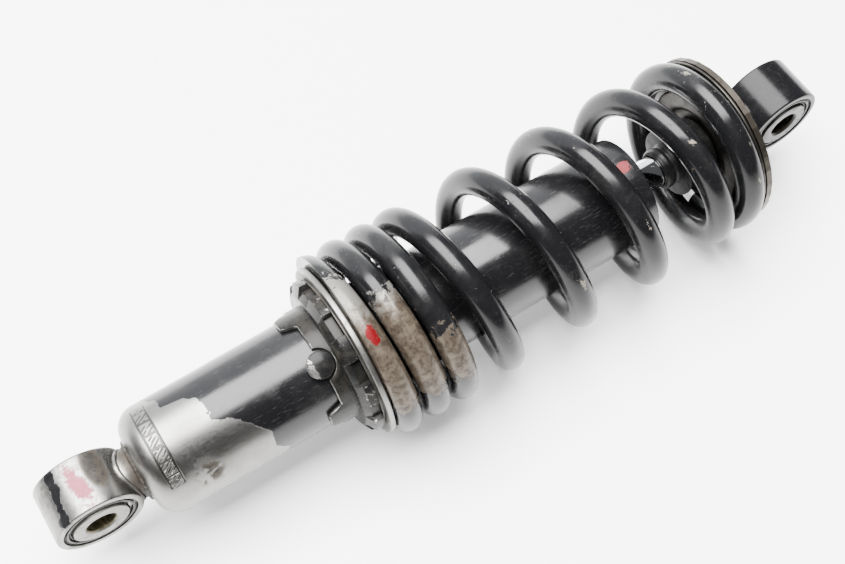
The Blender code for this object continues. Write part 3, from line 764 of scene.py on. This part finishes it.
def sleeve_material(name, face_colour, bore_colour):
    """Bright end faces with turning marks; the bore is darker and stained."""
    shader = Shader(name)
    bore = shader.attribute("edge")
    stain = shader.span(shader.noise(4, 6.0, 0.65, warp=1.0), 0.35, 0.75)
    worn_face = tuple(0.6 * value for value in face_colour)
    face = shader.colour(stain, face_colour, worn_face)
    inside = shader.colour(stain, bore_colour, (0.035, 0.030, 0.018))
    colour = shader.colour(bore, face, inside)
    rough = shader.add(shader.span(stain, 0.0, 1.0, 0.28, 0.48), shader.times(bore, 0.12))
    scratch = scratches(shader, 2.5, (5, 1, 5))
    shader.raise_by(scratch, -0.015)
    shader.raise_by(shader.noise(0.5), 0.006)
    return shader.finish(colour, rough, 0.6, DULL_SPECULAR)


def make_sleeve(prefix, centre, face_colour, bore_colour):
    """Pivot sleeve with chamfered ends; the bolt goes through its bore."""
    low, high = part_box(prefix + "_pivot_sleeve")
    half = (high[1] - low[1]) / 2
    outer = (high[2] - low[2]) / 2
    bore = 6.1 * MM
    chamfer = 0.9 * MM
    outline = rounded([(-half, bore + chamfer), (-half, outer, 0.5 * MM), (half, outer, 0.5 * MM),
                       (half, bore + chamfer), (half - chamfer, bore), (-half + chamfer, bore)],
                      0.12 * MM)
    material = sleeve_material(prefix + "_sleeve_steel", face_colour, bore_colour)
    sleeve = turned(prefix + "_sleeve", outline, material, 128, across_eye(centre))
    store_each(sleeve, "edge", lambda place: float(
        off_bolt_axis(place, centre) < bore + 0.25 * chamfer))
    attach(sleeve, prefix + "_sleeve_body")
    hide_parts(prefix + "_pivot_sleeve")


# Preload collar, bosses and seat washer ----------------------

COLLAR_OUTER = 25.3 * MM
COLLAR_INNER = TUBE_RADIUS + 0.4 * MM
TONGUE_TIP, COLLAR_FACE = ends("preload_collar")
COLLAR_RIM = node_radius("preload_collar")
RIM_START = COLLAR_FACE - 3.7 * MM
BEVEL_START = COLLAR_FACE - 6.2 * MM
BEVEL_FOOT_RADIUS = 30.0 * MM
PLAIN_EDGE = 100.5 * MM
NOTCH_RADIUS = 7.2 * MM
NOTCH_CENTRE = 99.0 * MM
TONGUE_TIP_HALF = 8.0
TONGUE_BASE_HALF = 17.0
SPANNER_SLOTS = 10
SLOT_HALF = 8.0
SLOT_WALL = 0.8
SLOT_DEPTH = 2.4 * MM


def collar_edge(degrees):
    """Station of the collar's lower edge: notches over the bosses, tongues between them."""
    from_boss = abs(angle_from_nearest(degrees, FIRST_BOSS_DEGREES, BOSS_COUNT))
    along = math.radians(from_boss) * COLLAR_OUTER
    if along < NOTCH_RADIUS:
        return max(NOTCH_CENTRE + math.sqrt(NOTCH_RADIUS ** 2 - along ** 2), PLAIN_EDGE)
    from_tongue = 180.0 / BOSS_COUNT - from_boss
    slope = ramp(from_tongue, (TONGUE_TIP_HALF, TONGUE_BASE_HALF), 1.0, 0.0)
    return PLAIN_EDGE + slope * slope * (3 - 2 * slope) * (TONGUE_TIP - PLAIN_EDGE)


def collar_rim(degrees):
    """Radius of the collar's rim, less in the spanner slots."""
    first = FIRST_BOSS_DEGREES + 180.0 / SPANNER_SLOTS
    from_slot = abs(angle_from_nearest(degrees, first, SPANNER_SLOTS))
    return COLLAR_RIM - ramp(from_slot, (SLOT_HALF, SLOT_HALF + SLOT_WALL), SLOT_DEPTH, 0.0)


def collar_material():
    """Dark plated steel: bright along its worn edges, with brownish stains."""
    shader = Shader("collar_steel")
    worn = edge_wear(shader, 0.46)
    stain = shader.noise(7, 6.0, 0.65, warp=0.6)
    dark = shader.colour(shader.span(stain, 0.35, 0.75), (0.005, 0.005, 0.005), (0.018, 0.016, 0.013))
    bright, bright_rough = bare_steel(shader, shader.span(stain, 0.45, 0.9, 0.0, 0.55), 0.32)
    colour = shader.colour(worn, dark, bright)
    rough = shader.add(shader.times(worn, bright_rough),
                       shader.times(shader.invert(worn), shader.span(stain, 0.3, 0.8, 0.22, 0.42)))
    shader.raise_by(shader.invert(worn), 0.06)
    shader.raise_by(shader.noise(1.4, 5.0, 0.6), 0.02)
    return shader.finish(colour, rough, worn, DULL_SPECULAR)


def collar_wear_and_slot_shade(station, radius, low, rim):
    """Wear at a point of the section whose lower edge and rim are given; in the spanner slots it is kept
    low, so they stay dark as painted shade in the recesses.
    """
    if station > RIM_START - 0.2 * MM and radius > rim - 0.5 * MM:
        # Painted shade: the spanner slots keep a low value so that they stay dark.
        in_slot = rim < COLLAR_RIM - 1 * MM
        return 0.12 if in_slot else 0.323
    on_skirt = radius > COLLAR_INNER + 0.5 * MM
    return ramp(station - low, (0.0, 0.6 * MM), 0.95, 0.0) if on_skirt else 0.0


def make_collar():
    """One section of the collar every half degree, joined into a ring."""
    step = 0.5
    count = round(360.0 / step)
    points, edge = [], []
    width = 0
    for i in range(count):
        degrees = i * step
        low = collar_edge(degrees)
        rim = collar_rim(degrees)
        outline = rounded([(low, COLLAR_INNER, 0.2 * MM), (low, COLLAR_OUTER, 0.45 * MM),
                           (BEVEL_START, COLLAR_OUTER, 0.1 * MM),
                           (BEVEL_START, BEVEL_FOOT_RADIUS, 0.4 * MM),
                           (RIM_START, rim, 0.3 * MM),
                           (COLLAR_FACE, rim, 0.3 * MM),
                           (COLLAR_FACE, COLLAR_INNER, 0.2 * MM)], 0.3 * MM)
        width = len(outline)
        for station, radius in outline:
            points.append(along_damper(station, radius, degrees))
            edge.append(collar_wear_and_slot_shade(station, radius, low, rim))
    faces = grid_faces(count, width, True)
    collar = make_piece("preload_cam_collar", points, faces, collar_material(), 35.0)
    store(collar, "edge", edge)
    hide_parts("preload_collar")
    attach(collar, "preload_cam")


def boss_material():
    """Smooth dark dome with one pitted, shining side where the collar has hammered it."""
    shader = Shader("boss_steel")
    pits = shader.span(shader.noise(1.5, 5.0, 0.7), 0.50, 0.58)
    crescent = shader.span(shader.attribute("edge"), 0.40, 0.55)
    stain = shader.noise(3, 5.0, 0.6)
    dark = shader.colour(shader.span(stain, 0.4, 0.8), (0.005, 0.005, 0.005), (0.016, 0.015, 0.013))
    pitted = shader.colour(pits, STEEL, (0.05, 0.045, 0.04))
    colour = shader.colour(crescent, dark, pitted)
    shader.raise_by(shader.times(pits, crescent), -0.22)
    return shader.finish(colour, shader.span(stain, 0.3, 0.7, 0.24, 0.38),
                         shader.span(crescent, 0.0, 1.0, 0.0, 0.95), DULL_SPECULAR)


def make_bosses():
    """Domed round studs on the tube, hammered on one side by the collar."""
    material = boss_material()
    low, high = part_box("stop_boss_1")
    radius = (high[0] - low[0]) / 2
    top = 27.0 * MM
    foot = TUBE_RADIUS - 0.4 * MM
    shoulder = 1.3 * MM
    outline = [(foot, 0.0), (foot, radius)]
    outline += fillet((foot, radius), (top - shoulder, radius), (top, 0.0), 0.5 * MM)
    dome_steps = 10
    for i in range(1, dome_steps):
        share = 1.0 - i / dome_steps
        outline.append((top - shoulder * 0.9 * share ** 2, radius * share))
    outline.append((top, 0.0))
    for i in range(BOSS_COUNT):
        direction = math.radians(FIRST_BOSS_DEGREES + i * 360.0 / BOSS_COUNT)
        outward = Vector((0.0, math.cos(direction), math.sin(direction)))
        sideways = Vector((0.0, -math.sin(direction), math.cos(direction)))
        centre = Vector((LOWER_EYE.x + BOSS_STATION, 0.0, AXIS_Z))

        def on_boss(height, distance, degrees):
            turn = math.radians(degrees)
            return tuple(centre + outward * height + Vector((1, 0, 0)) * distance * math.cos(turn)
                         + sideways * distance * math.sin(turn))

        boss = turned("preload_boss_%d" % (i + 1), outline, material, 96, on_boss)
        store_each(boss, "edge", lambda place: (centre.x - place.x) / radius
                   + 0.12 * rough_value(place, 1.5 * MM))
        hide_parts("stop_boss_%d" % (i + 1))
        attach(boss, "damper_body")


def washer_material():
    """Grey steel with fine lines round it, darker away from its worn edge."""
    shader = Shader("washer_steel")
    worn = edge_wear(shader, 0.38)
    lines = shader.noise(0.35, 3.0, 0.6, (1.0, 0.06, 0.06))
    stain = shader.noise(9, 6.0, 0.7, warp=0.7)
    steel, rough = bare_steel(shader, shader.span(stain, 0.4, 0.85, 0.05, 0.6), 0.34)
    under = shader.colour(shader.span(stain, 0.35, 0.75), (0.022, 0.021, 0.019), (0.045, 0.038, 0.030))
    colour = shader.colour(worn, under, steel)
    rough = shader.add(rough, shader.times(shader.invert(worn), 0.08))
    shader.raise_by(lines, 0.02)
    shader.raise_by(shader.noise(2, 4.0, 0.6), 0.03)
    return shader.finish(colour, rough, shader.span(worn, 0.0, 1.0, 0.35, 1.0))


def make_seat_washer():
    """Stepped washer: its wide disc stands out between the collar and the first coil."""
    start, pilot_end = ends("spring_seat_ring")
    face = SPRING_START - 0.3 * MM
    outer = node_radius("spring_seat_ring")
    disc = (start + 0.6 * MM, face - 0.6 * MM)
    pilot = 29.5 * MM
    inner = COLLAR_INNER + 0.2 * MM
    outline = rounded([(start, inner), (start, outer - 5 * MM), (disc[0], outer - 5 * MM),
                       (disc[0], outer, 0.35 * MM), (disc[1], outer, 0.35 * MM),
                       (disc[1], outer - 1.5 * MM), (face, outer - 1.5 * MM, 0.2 * MM),
                       (face, pilot, 0.3 * MM), (pilot_end, pilot, 0.8 * MM), (pilot_end, inner)],
                      0.15 * MM)
    washer = turned("spring_seat_washer", outline, washer_material(), 192)
    worn_reach = 0.7 * MM
    store_each(washer, "edge", lambda place: max(
        0.0, 1.0 - (outer - math.hypot(place.y, place.z - AXIS_Z)) / worn_reach))
    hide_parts("spring_seat_ring")
    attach(washer, "spring_seat")


# Main spring -------------------------------------------------

WIRE_RADIUS = 6.0 * MM
COIL_RADIUS = SPRING_OUTER - WIRE_RADIUS
END_COIL_RADIUS = COIL_RADIUS - 1.4 * MM
FIRST_COIL = 120.0 * MM
FIRST_COIL_DEGREES = 112.0
WIRE_START_DEGREES = -75.0
WIRE_END_DEGREES = 2775.0
CLOSE_PITCH = 13.3 * MM
OPEN_PITCH = 36.6 * MM
TOP_PITCH = 6.0 * MM
OPENING_TURNS = (2.6, 3.0)
CLOSING_TURNS = (5.95, 7.0)
TAPER_TURNS = (5.2, 6.6)


def pitch_at(turns):
    """Advance per turn: close wound at both ends, wide in the middle."""
    if turns < CLOSING_TURNS[0]:
        return ramp(turns, OPENING_TURNS, CLOSE_PITCH, OPEN_PITCH)
    return ramp(turns, CLOSING_TURNS, OPEN_PITCH, TOP_PITCH)


def wire_section(centre, sides):
    """Angles round the wire at one place, spread over the arc that the grinding leaves."""
    whole = 180.0 * (sides - 1) / sides
    at_start = centre < (SPRING_START + SPRING_END) / 2
    height = centre - SPRING_START if at_start else SPRING_END - centre
    left = 90.0 + math.degrees(math.asin(min(1.0, max(-1.0, height / WIRE_RADIUS))))
    half_arc = min(left, whole)
    angles = []
    for j in range(sides):
        k = j if at_start else (j + sides // 2) % sides
        middle_angle = 90.0 if at_start else 270.0
        angles.append(math.radians(middle_angle + half_arc * (2 * k / (sides - 1) - 1)))
    return angles


# Angles in degrees between which the paint has gone, the first one for each close coil.
DIRTY_START = (64.0, 86.0, 120.0)
DIRTY_END = 172.0
# Angle in degrees where the scuffed grey starts to turn brown, and over how many degrees.
BROWN_FROM = 80.0
BROWN_SPAN = 60.0


def dirty_coil_value(turns, degrees, around):
    """How far the paint has gone on the close coils, from 0 to 1."""
    coil = max(0, math.floor(turns + 0.5))
    if coil >= len(DIRTY_START):
        return 0.0
    turn = degrees % 360.0
    start = (turn - DIRTY_START[coil]) / 22.0
    end = (DIRTY_END - turn) / 20.0
    on_outside = 0.5 + 0.5 * math.cos(around - 0.2)
    value = max(0.0, min(1.0, start)) * max(0.0, min(1.0, end))
    return value * min(1.0, 0.25 + 1.3 * on_outside)


# Turns, angle round the wire, and reach in turns and in radians of each chip.
SPRING_CHIPS = ((4.10, 0.20, 0.013, 0.32), (4.175, 0.35, 0.012, 0.30), (5.07, 0.10, 0.009, 0.25),
                (5.99, 0.0, 0.009, 0.25), (6.875, -0.05, 0.010, 0.28), (7.11, 0.15, 0.008, 0.25))


def chip_value(turns, around):
    """Chips in the paint at chosen places along and around the wire."""
    value = 0.0
    for along, centre, reach, width in SPRING_CHIPS:
        angle = (around - centre + math.pi) % (2 * math.pi) - math.pi
        value = max(value, 1.0 - math.hypot((turns - along) / reach, angle / width))
    return value


def red_dab_value(turns, around):
    """1 in the middle of the red dab on the first coil, falling to 0 at its outline."""
    reach_turns = 0.024
    reach_around = 0.30
    return 1.0 - math.hypot(turns / reach_turns, math.sin((around - 0.1) / 2) / reach_around)


def spring_material():
    """Gloss black wire; on the close coils it is scuffed grey at first, then warm brown."""
    shader = Shader("spring_paint_worn")
    zone = shader.attribute("dirty")
    late = shader.attribute("late")
    broken = shader.ragged(4.0, 6.0, 0.68, 0.6, low=0.25, warp=0.3)
    worn = shader.span(shader.add(zone, broken), 0.36, 0.50)
    chip_edge = shader.ragged(1.6, 5.0, 0.7, 0.5)
    chip = shader.span(shader.add(shader.attribute("chip"), chip_edge), 0.34, 0.42)
    stain = shader.noise(3.2, 6.0, 0.7, warp=0.4)
    brown = shader.colour(shader.span(stain, 0.35, 0.65), (0.088, 0.071, 0.053), (0.030, 0.022, 0.016))
    uneven = shader.add(late, shader.span(stain, 0.3, 0.7, -0.15, 0.15, False))
    warm = shader.colour(shader.span(uneven, 0.15, 0.5), (0.125, 0.120, 0.108), brown)
    specks = shader.span(shader.noise(1.1, 5.0, 0.75), 0.62, 0.68)
    warm = shader.colour(shader.times(specks, 0.8), warm, (0.03, 0.024, 0.018))
    paint, paint_rough = gloss_black(shader, 0.45)
    colour = shader.colour(worn, paint, warm)
    colour = shader.colour(shader.times(chip, 0.8), colour, (0.16, 0.14, 0.11))
    mark_edge = shader.ragged(2.4, 5.0, 0.75, 0.6)
    mark = shader.span(shader.add(shader.attribute("red"), mark_edge), 0.30, 0.42)
    colour = shader.colour(mark, colour, CRIMSON_MARK)
    rough = shader.add(shader.times(worn, shader.span(stain, 0.3, 0.7, 0.30, 0.44)),
                       shader.times(shader.invert(worn), paint_rough))
    rough = shader.add(rough, shader.times(chip, 0.2))
    shader.raise_by(shader.invert(shader.either(worn, chip)), 0.06)
    shader.raise_by(shader.noise(5.0, 3.0, 0.5), 0.015)
    shader.raise_by(specks, -0.04)
    metallic = shader.times(worn, 0.35)
    return shader.finish(colour, rough, metallic, WIRE_SPECULAR)


def make_spring():
    """Coils the wire section by section, keeping at each one the share of the open gaps so far."""
    per_turn = 96
    sides = 28
    start_turns = (WIRE_START_DEGREES - FIRST_COIL_DEGREES) / 360.0
    total = (WIRE_END_DEGREES - WIRE_START_DEGREES) / 360.0
    steps = round(total * per_turn)
    turns_per_step = total / steps
    station = FIRST_COIL + start_turns * CLOSE_PITCH
    closed = 0.0
    points, weights = [], []
    marks = {"dirty": [], "late": [], "chip": [], "red": []}
    for i in range(steps + 1):
        turns = start_turns + i * turns_per_step
        degrees = FIRST_COIL_DEGREES + 360.0 * turns
        coil_radius = ramp(turns, TAPER_TURNS, COIL_RADIUS, END_COIL_RADIUS)
        for around in wire_section(station, sides):
            radius = coil_radius + WIRE_RADIUS * math.cos(around)
            points.append(along_damper(station + WIRE_RADIUS * math.sin(around), radius, degrees))
            marks["dirty"].append(dirty_coil_value(turns, degrees, around))
            marks["late"].append(((degrees % 360.0) - BROWN_FROM) / BROWN_SPAN)
            marks["chip"].append(chip_value(turns, around))
            marks["red"].append(red_dab_value(turns, around))
            weights.append(closed)
        pitch = pitch_at(turns + 0.5 * turns_per_step)
        closed += max(0.0, pitch - 2 * WIRE_RADIUS) * turns_per_step
        station += pitch * turns_per_step
    ends = [list(range(sides)), [steps * sides + j for j in range(sides)]]
    faces = ends + grid_faces(steps + 1, sides, False)
    spring = make_piece("coil_spring", points, faces, spring_material(), 50.0)
    store_all(spring, marks)
    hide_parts("main_spring")
    along_damper(SPRING_START, 0, 0)
    along_damper(SPRING_END, 0, 0)
    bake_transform(spring)
    # Every point of one wire section gets the same share of the open gap between the coils below it;
    # these shares are worked out but not used.
    shares = [value / closed for value in weights]


# Upper seat, bump stop and rod -------------------------------

def make_upper_seat():
    """Dished retainer, and the material of the keeper plate behind it."""
    hub_face = ends("bump_cup")[1] + 0.3 * MM
    retainer_back = ends("spring_retainer")[1]
    face = SPRING_END + 0.3 * MM
    rim = node_radius("spring_retainer")
    pilot = 28.45 * MM
    hole = ROD_RADIUS + 0.4 * MM
    outline = rounded([(hub_face, hole), (hub_face, 18 * MM, 1.5 * MM),
                       (hub_face - 2.5 * MM, 20 * MM, 1.5 * MM),
                       (hub_face - 2.5 * MM, pilot - 1 * MM, 1.0 * MM), (face, pilot, 0.8 * MM),
                       (face, rim, 0.5 * MM), (retainer_back, rim, 0.5 * MM),
                       (retainer_back, pilot - 2.2 * MM, 1.5 * MM),
                       (hub_face + 2.2 * MM, pilot - 3.2 * MM, 1.5 * MM),
                       (hub_face + 2.2 * MM, hole)], 0.3 * MM)
    material = plain_steel("retainer_steel", (0.040, 0.037, 0.033), 0.40)
    retainer = turned("upper_spring_retainer", outline, material, 192)
    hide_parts("spring_retainer")
    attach(retainer, "upper_seat")
    repaint("retainer_plate", plain_steel("keeper_plate_steel", (0.055, 0.048, 0.040), 0.42))


def plain_steel(name, tone, roughness):
    """Bare metal of one tone with darker stains."""
    shader = Shader(name)
    stain = shader.noise(6, 6.0, 0.65, warp=0.6)
    darker = tuple(0.35 * value for value in tone)
    colour = shader.colour(shader.span(stain, 0.4, 0.8), tone, darker)
    rough = shader.span(stain, 0.3, 0.8, roughness - 0.05, roughness + 0.18)
    shader.raise_by(shader.noise(0.9, 4.0, 0.6), 0.02)
    shader.raise_by(scratches(shader, 3), -0.01)
    return shader.finish(colour, rough, 1.0)


def rubber(name):
    """Black rubber with a little dust."""
    shader = Shader(name)
    dust = shader.noise(5, 6.0, 0.7, warp=0.4)
    colour = shader.colour(shader.span(dust, 0.45, 0.85), (0.004, 0.004, 0.004), (0.015, 0.014, 0.0125))
    rough = shader.span(dust, 0.3, 0.8, 0.26, 0.55)
    shader.raise_by(shader.noise(0.6, 4.0, 0.6), 0.02)
    return shader.finish(colour, rough, specular=DULL_SPECULAR)


def make_bump_stop():
    """Slim rubber with a wide rim part way along it."""
    nose, end = ends("bump_stop")
    hole = ROD_RADIUS + 0.4 * MM
    fat = 9.6 * MM
    thin = 8.6 * MM
    base = 11.5 * MM
    rim = nose + 7.0 * MM
    rim_radius = node_radius("bump_stop")
    outline = rounded([(nose, hole, 0.3 * MM), (nose, thin, 0.6 * MM),
                       (nose + 1.0 * MM, fat - 0.4 * MM, 0.8 * MM), (rim - 3.5 * MM, fat, 0.8 * MM),
                       (rim - 2.2 * MM, thin, 0.7 * MM), (rim - 1.0 * MM, fat, 0.5 * MM),
                       (rim, fat, 0.4 * MM), (rim, rim_radius, 0.5 * MM),
                       (rim + 1.5 * MM, rim_radius, 0.5 * MM), (rim + 3.5 * MM, base, 1.2 * MM),
                       (rim + 7.0 * MM, base, 0.8 * MM), (rim + 8.5 * MM, base - 1.5 * MM, 1.0 * MM),
                       (rim + 10.0 * MM, base, 0.8 * MM), (end, base, 0.4 * MM),
                       (end, hole, 0.3 * MM)], 0.5 * MM)
    stop = turned("bump_rubber", outline, rubber("bump_stop_rubber"), 128)
    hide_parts("bump_stop")
    along_damper(nose, 0, 0)
    along_damper(end, 0, 0)
    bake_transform(stop)


def make_rod():
    """Hard-chromed rod, stepped down where it carries the piston."""
    start, end = ends("piston_rod")
    shoulder = 204.7 * MM
    outline = rounded([(start, 0.0), (start, 4.5 * MM, 0.5 * MM), (shoulder, 4.5 * MM, 0.2 * MM),
                       (shoulder, ROD_RADIUS, 0.5 * MM), (end, ROD_RADIUS, 0.8 * MM), (end, 0.0)],
                      0.3 * MM)
    shader = Shader("rod_chrome")
    film = shader.noise(8, 5.0, 0.6, (0.3, 1, 1))
    colour = shader.colour(shader.span(film, 0.45, 0.8), (0.80, 0.81, 0.82), (0.62, 0.62, 0.60))
    rough = shader.span(film, 0.4, 0.85, 0.05, 0.16)
    shader.raise_by(scratches(shader, 4, (1, 20, 20), 0.66), -0.004)
    rod = turned("chromed_rod", outline, shader.finish(colour, rough, 1.0), 128)
    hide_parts("piston_rod")
    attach(rod, "rod_assembly")


# Finishes of the parts that keep their model shape -----------

def black_nylon():
    """Scuffed black plastic."""
    shader = Shader("black_nylon")
    scuff = shader.noise(5, 5.0, 0.6)
    colour = shader.colour(shader.span(scuff, 0.45, 0.8), (0.006, 0.006, 0.006), (0.018, 0.0175, 0.016))
    shader.raise_by(shader.noise(0.7, 3.0, 0.5), 0.015)
    return shader.finish(colour, shader.span(scuff, 0.3, 0.8, 0.32, 0.55), specular=DULL_SPECULAR)


def repaint(node, material):
    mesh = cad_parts[node].data
    mesh.materials.clear()
    mesh.materials.append(material)


def repaint_kept_nodes():
    """Better materials on the pieces whose model mesh is kept."""
    groups = (
        (plain_steel("machined_aluminium", (0.60, 0.60, 0.59), 0.34),
         ("rod_guide", "separator_piston", "piston")),
        (plain_steel("bearing_bronze", (0.36, 0.22, 0.10), 0.38),
         ("guide_bush", "lower_bearing_shell", "upper_bearing_shell")),
        (plain_steel("spring_steel", (0.45, 0.44, 0.42), 0.30),
         ("circlip", "rebound_shims", "compression_shims", "piston_nut")),
        (rubber("seal_rubber"),
         ("guide_o_ring", "oil_seal", "dust_wiper", "separator_o_ring", "top_out_bumper")),
        (black_nylon(), ("body_end_cap", "bump_cup", "piston_band")),
    )
    for material, names in groups:
        for name in names:
            repaint(name, material)


# Floor, lights and camera ------------------------------------

def make_floor():
    """Plain pale floor that glows a little, like a lit sweep of white card."""
    shader = Shader("studio_floor")
    tone = shader.noise(500, 2.0, 0.5)
    colour = shader.colour(tone, (0.86, 0.86, 0.85), (0.88, 0.88, 0.87))
    shader.surface.inputs["Emission Color"].default_value = (1.0, 1.0, 1.0, 1.0)
    shader.surface.inputs["Emission Strength"].default_value = 0.45
    material = shader.finish(colour, 0.6)
    half = 20.0
    points = [(-half, -half, 0), (half, -half, 0), (half, half, 0), (-half, half, 0)]
    floor = make_piece("studio_floor", points, [[0, 1, 2, 3]], material)


def make_lights():
    """One long softbox overhead and a studio that is bright behind the shock, dark before it."""
    softbox = bpy.data.lights.new("overhead_softbox", "AREA")
    softbox.shape = "RECTANGLE"
    softbox.size = 2.4
    softbox.size_y = 1.9
    softbox.energy = 540.0
    light = link(bpy.data.objects.new("overhead_softbox", softbox))
    behind = 0.50
    above = 2.2
    light.location = (-0.3, behind, above)
    light.rotation_euler = (-math.atan2(behind, above), 0.0, 0.0)
    world = bpy.data.worlds.new("studio")
    world.use_nodes = True
    tree = world.node_tree
    background = tree.nodes["Background"]
    background.inputs["Color"].default_value = (0.95, 0.97, 1.0, 1.0)
    direction = tree.nodes.new("ShaderNodeTexCoord")
    split = tree.nodes.new("ShaderNodeSeparateXYZ")
    strength = tree.nodes.new("ShaderNodeMapRange")
    strength.interpolation_type = "SMOOTHSTEP"
    edge = (0.55, 0.70)
    dim, bright = 0.10, 3.5
    for socket, value in zip(strength.inputs[1:5], (*edge, dim, bright)):
        socket.default_value = value
    tree.links.new(direction.outputs["Generated"], split.inputs[0])
    tree.links.new(split.outputs["Y"], strength.inputs[0])
    tree.links.new(strength.outputs[0], background.inputs["Strength"])
    bpy.context.scene.world = world


def make_camera():
    """Looks down on the shock from over its lower end, as the photograph does."""
    data = bpy.data.cameras.new("photo_camera")
    data.sensor_width = 36.0
    data.lens = 53.1
    camera = link(bpy.data.objects.new("photo_camera", data))
    camera.location = (LOWER_EYE.x + 38.5 * MM, -190.0 * MM, AXIS_Z + 466.4 * MM)
    view = Vector((0.2300, 0.3822, -0.8950))
    roll_degrees = -1.54
    look = view.to_track_quat("-Z", "Y")
    roll = Matrix.Rotation(math.radians(roll_degrees), 4, "Z")
    camera.rotation_euler = (look.to_matrix().to_4x4() @ roll).to_euler()
    bpy.context.scene.camera = camera


make_tube()
make_lower_eye()
make_upper_eye()
make_seals("lower", LOWER_EYE, "damper_body")
make_seals("upper", UPPER_EYE, "rod_assembly")
make_sleeve("lower", LOWER_EYE, (0.20, 0.196, 0.182), (0.15, 0.135, 0.085))
make_sleeve("upper", UPPER_EYE, (0.026, 0.025, 0.024), (0.008, 0.007, 0.006))
make_bosses()
make_collar()
make_seat_washer()
make_spring()
make_upper_seat()
make_bump_stop()
make_rod()
repaint_kept_nodes()
make_floor()
make_lights()
make_camera()
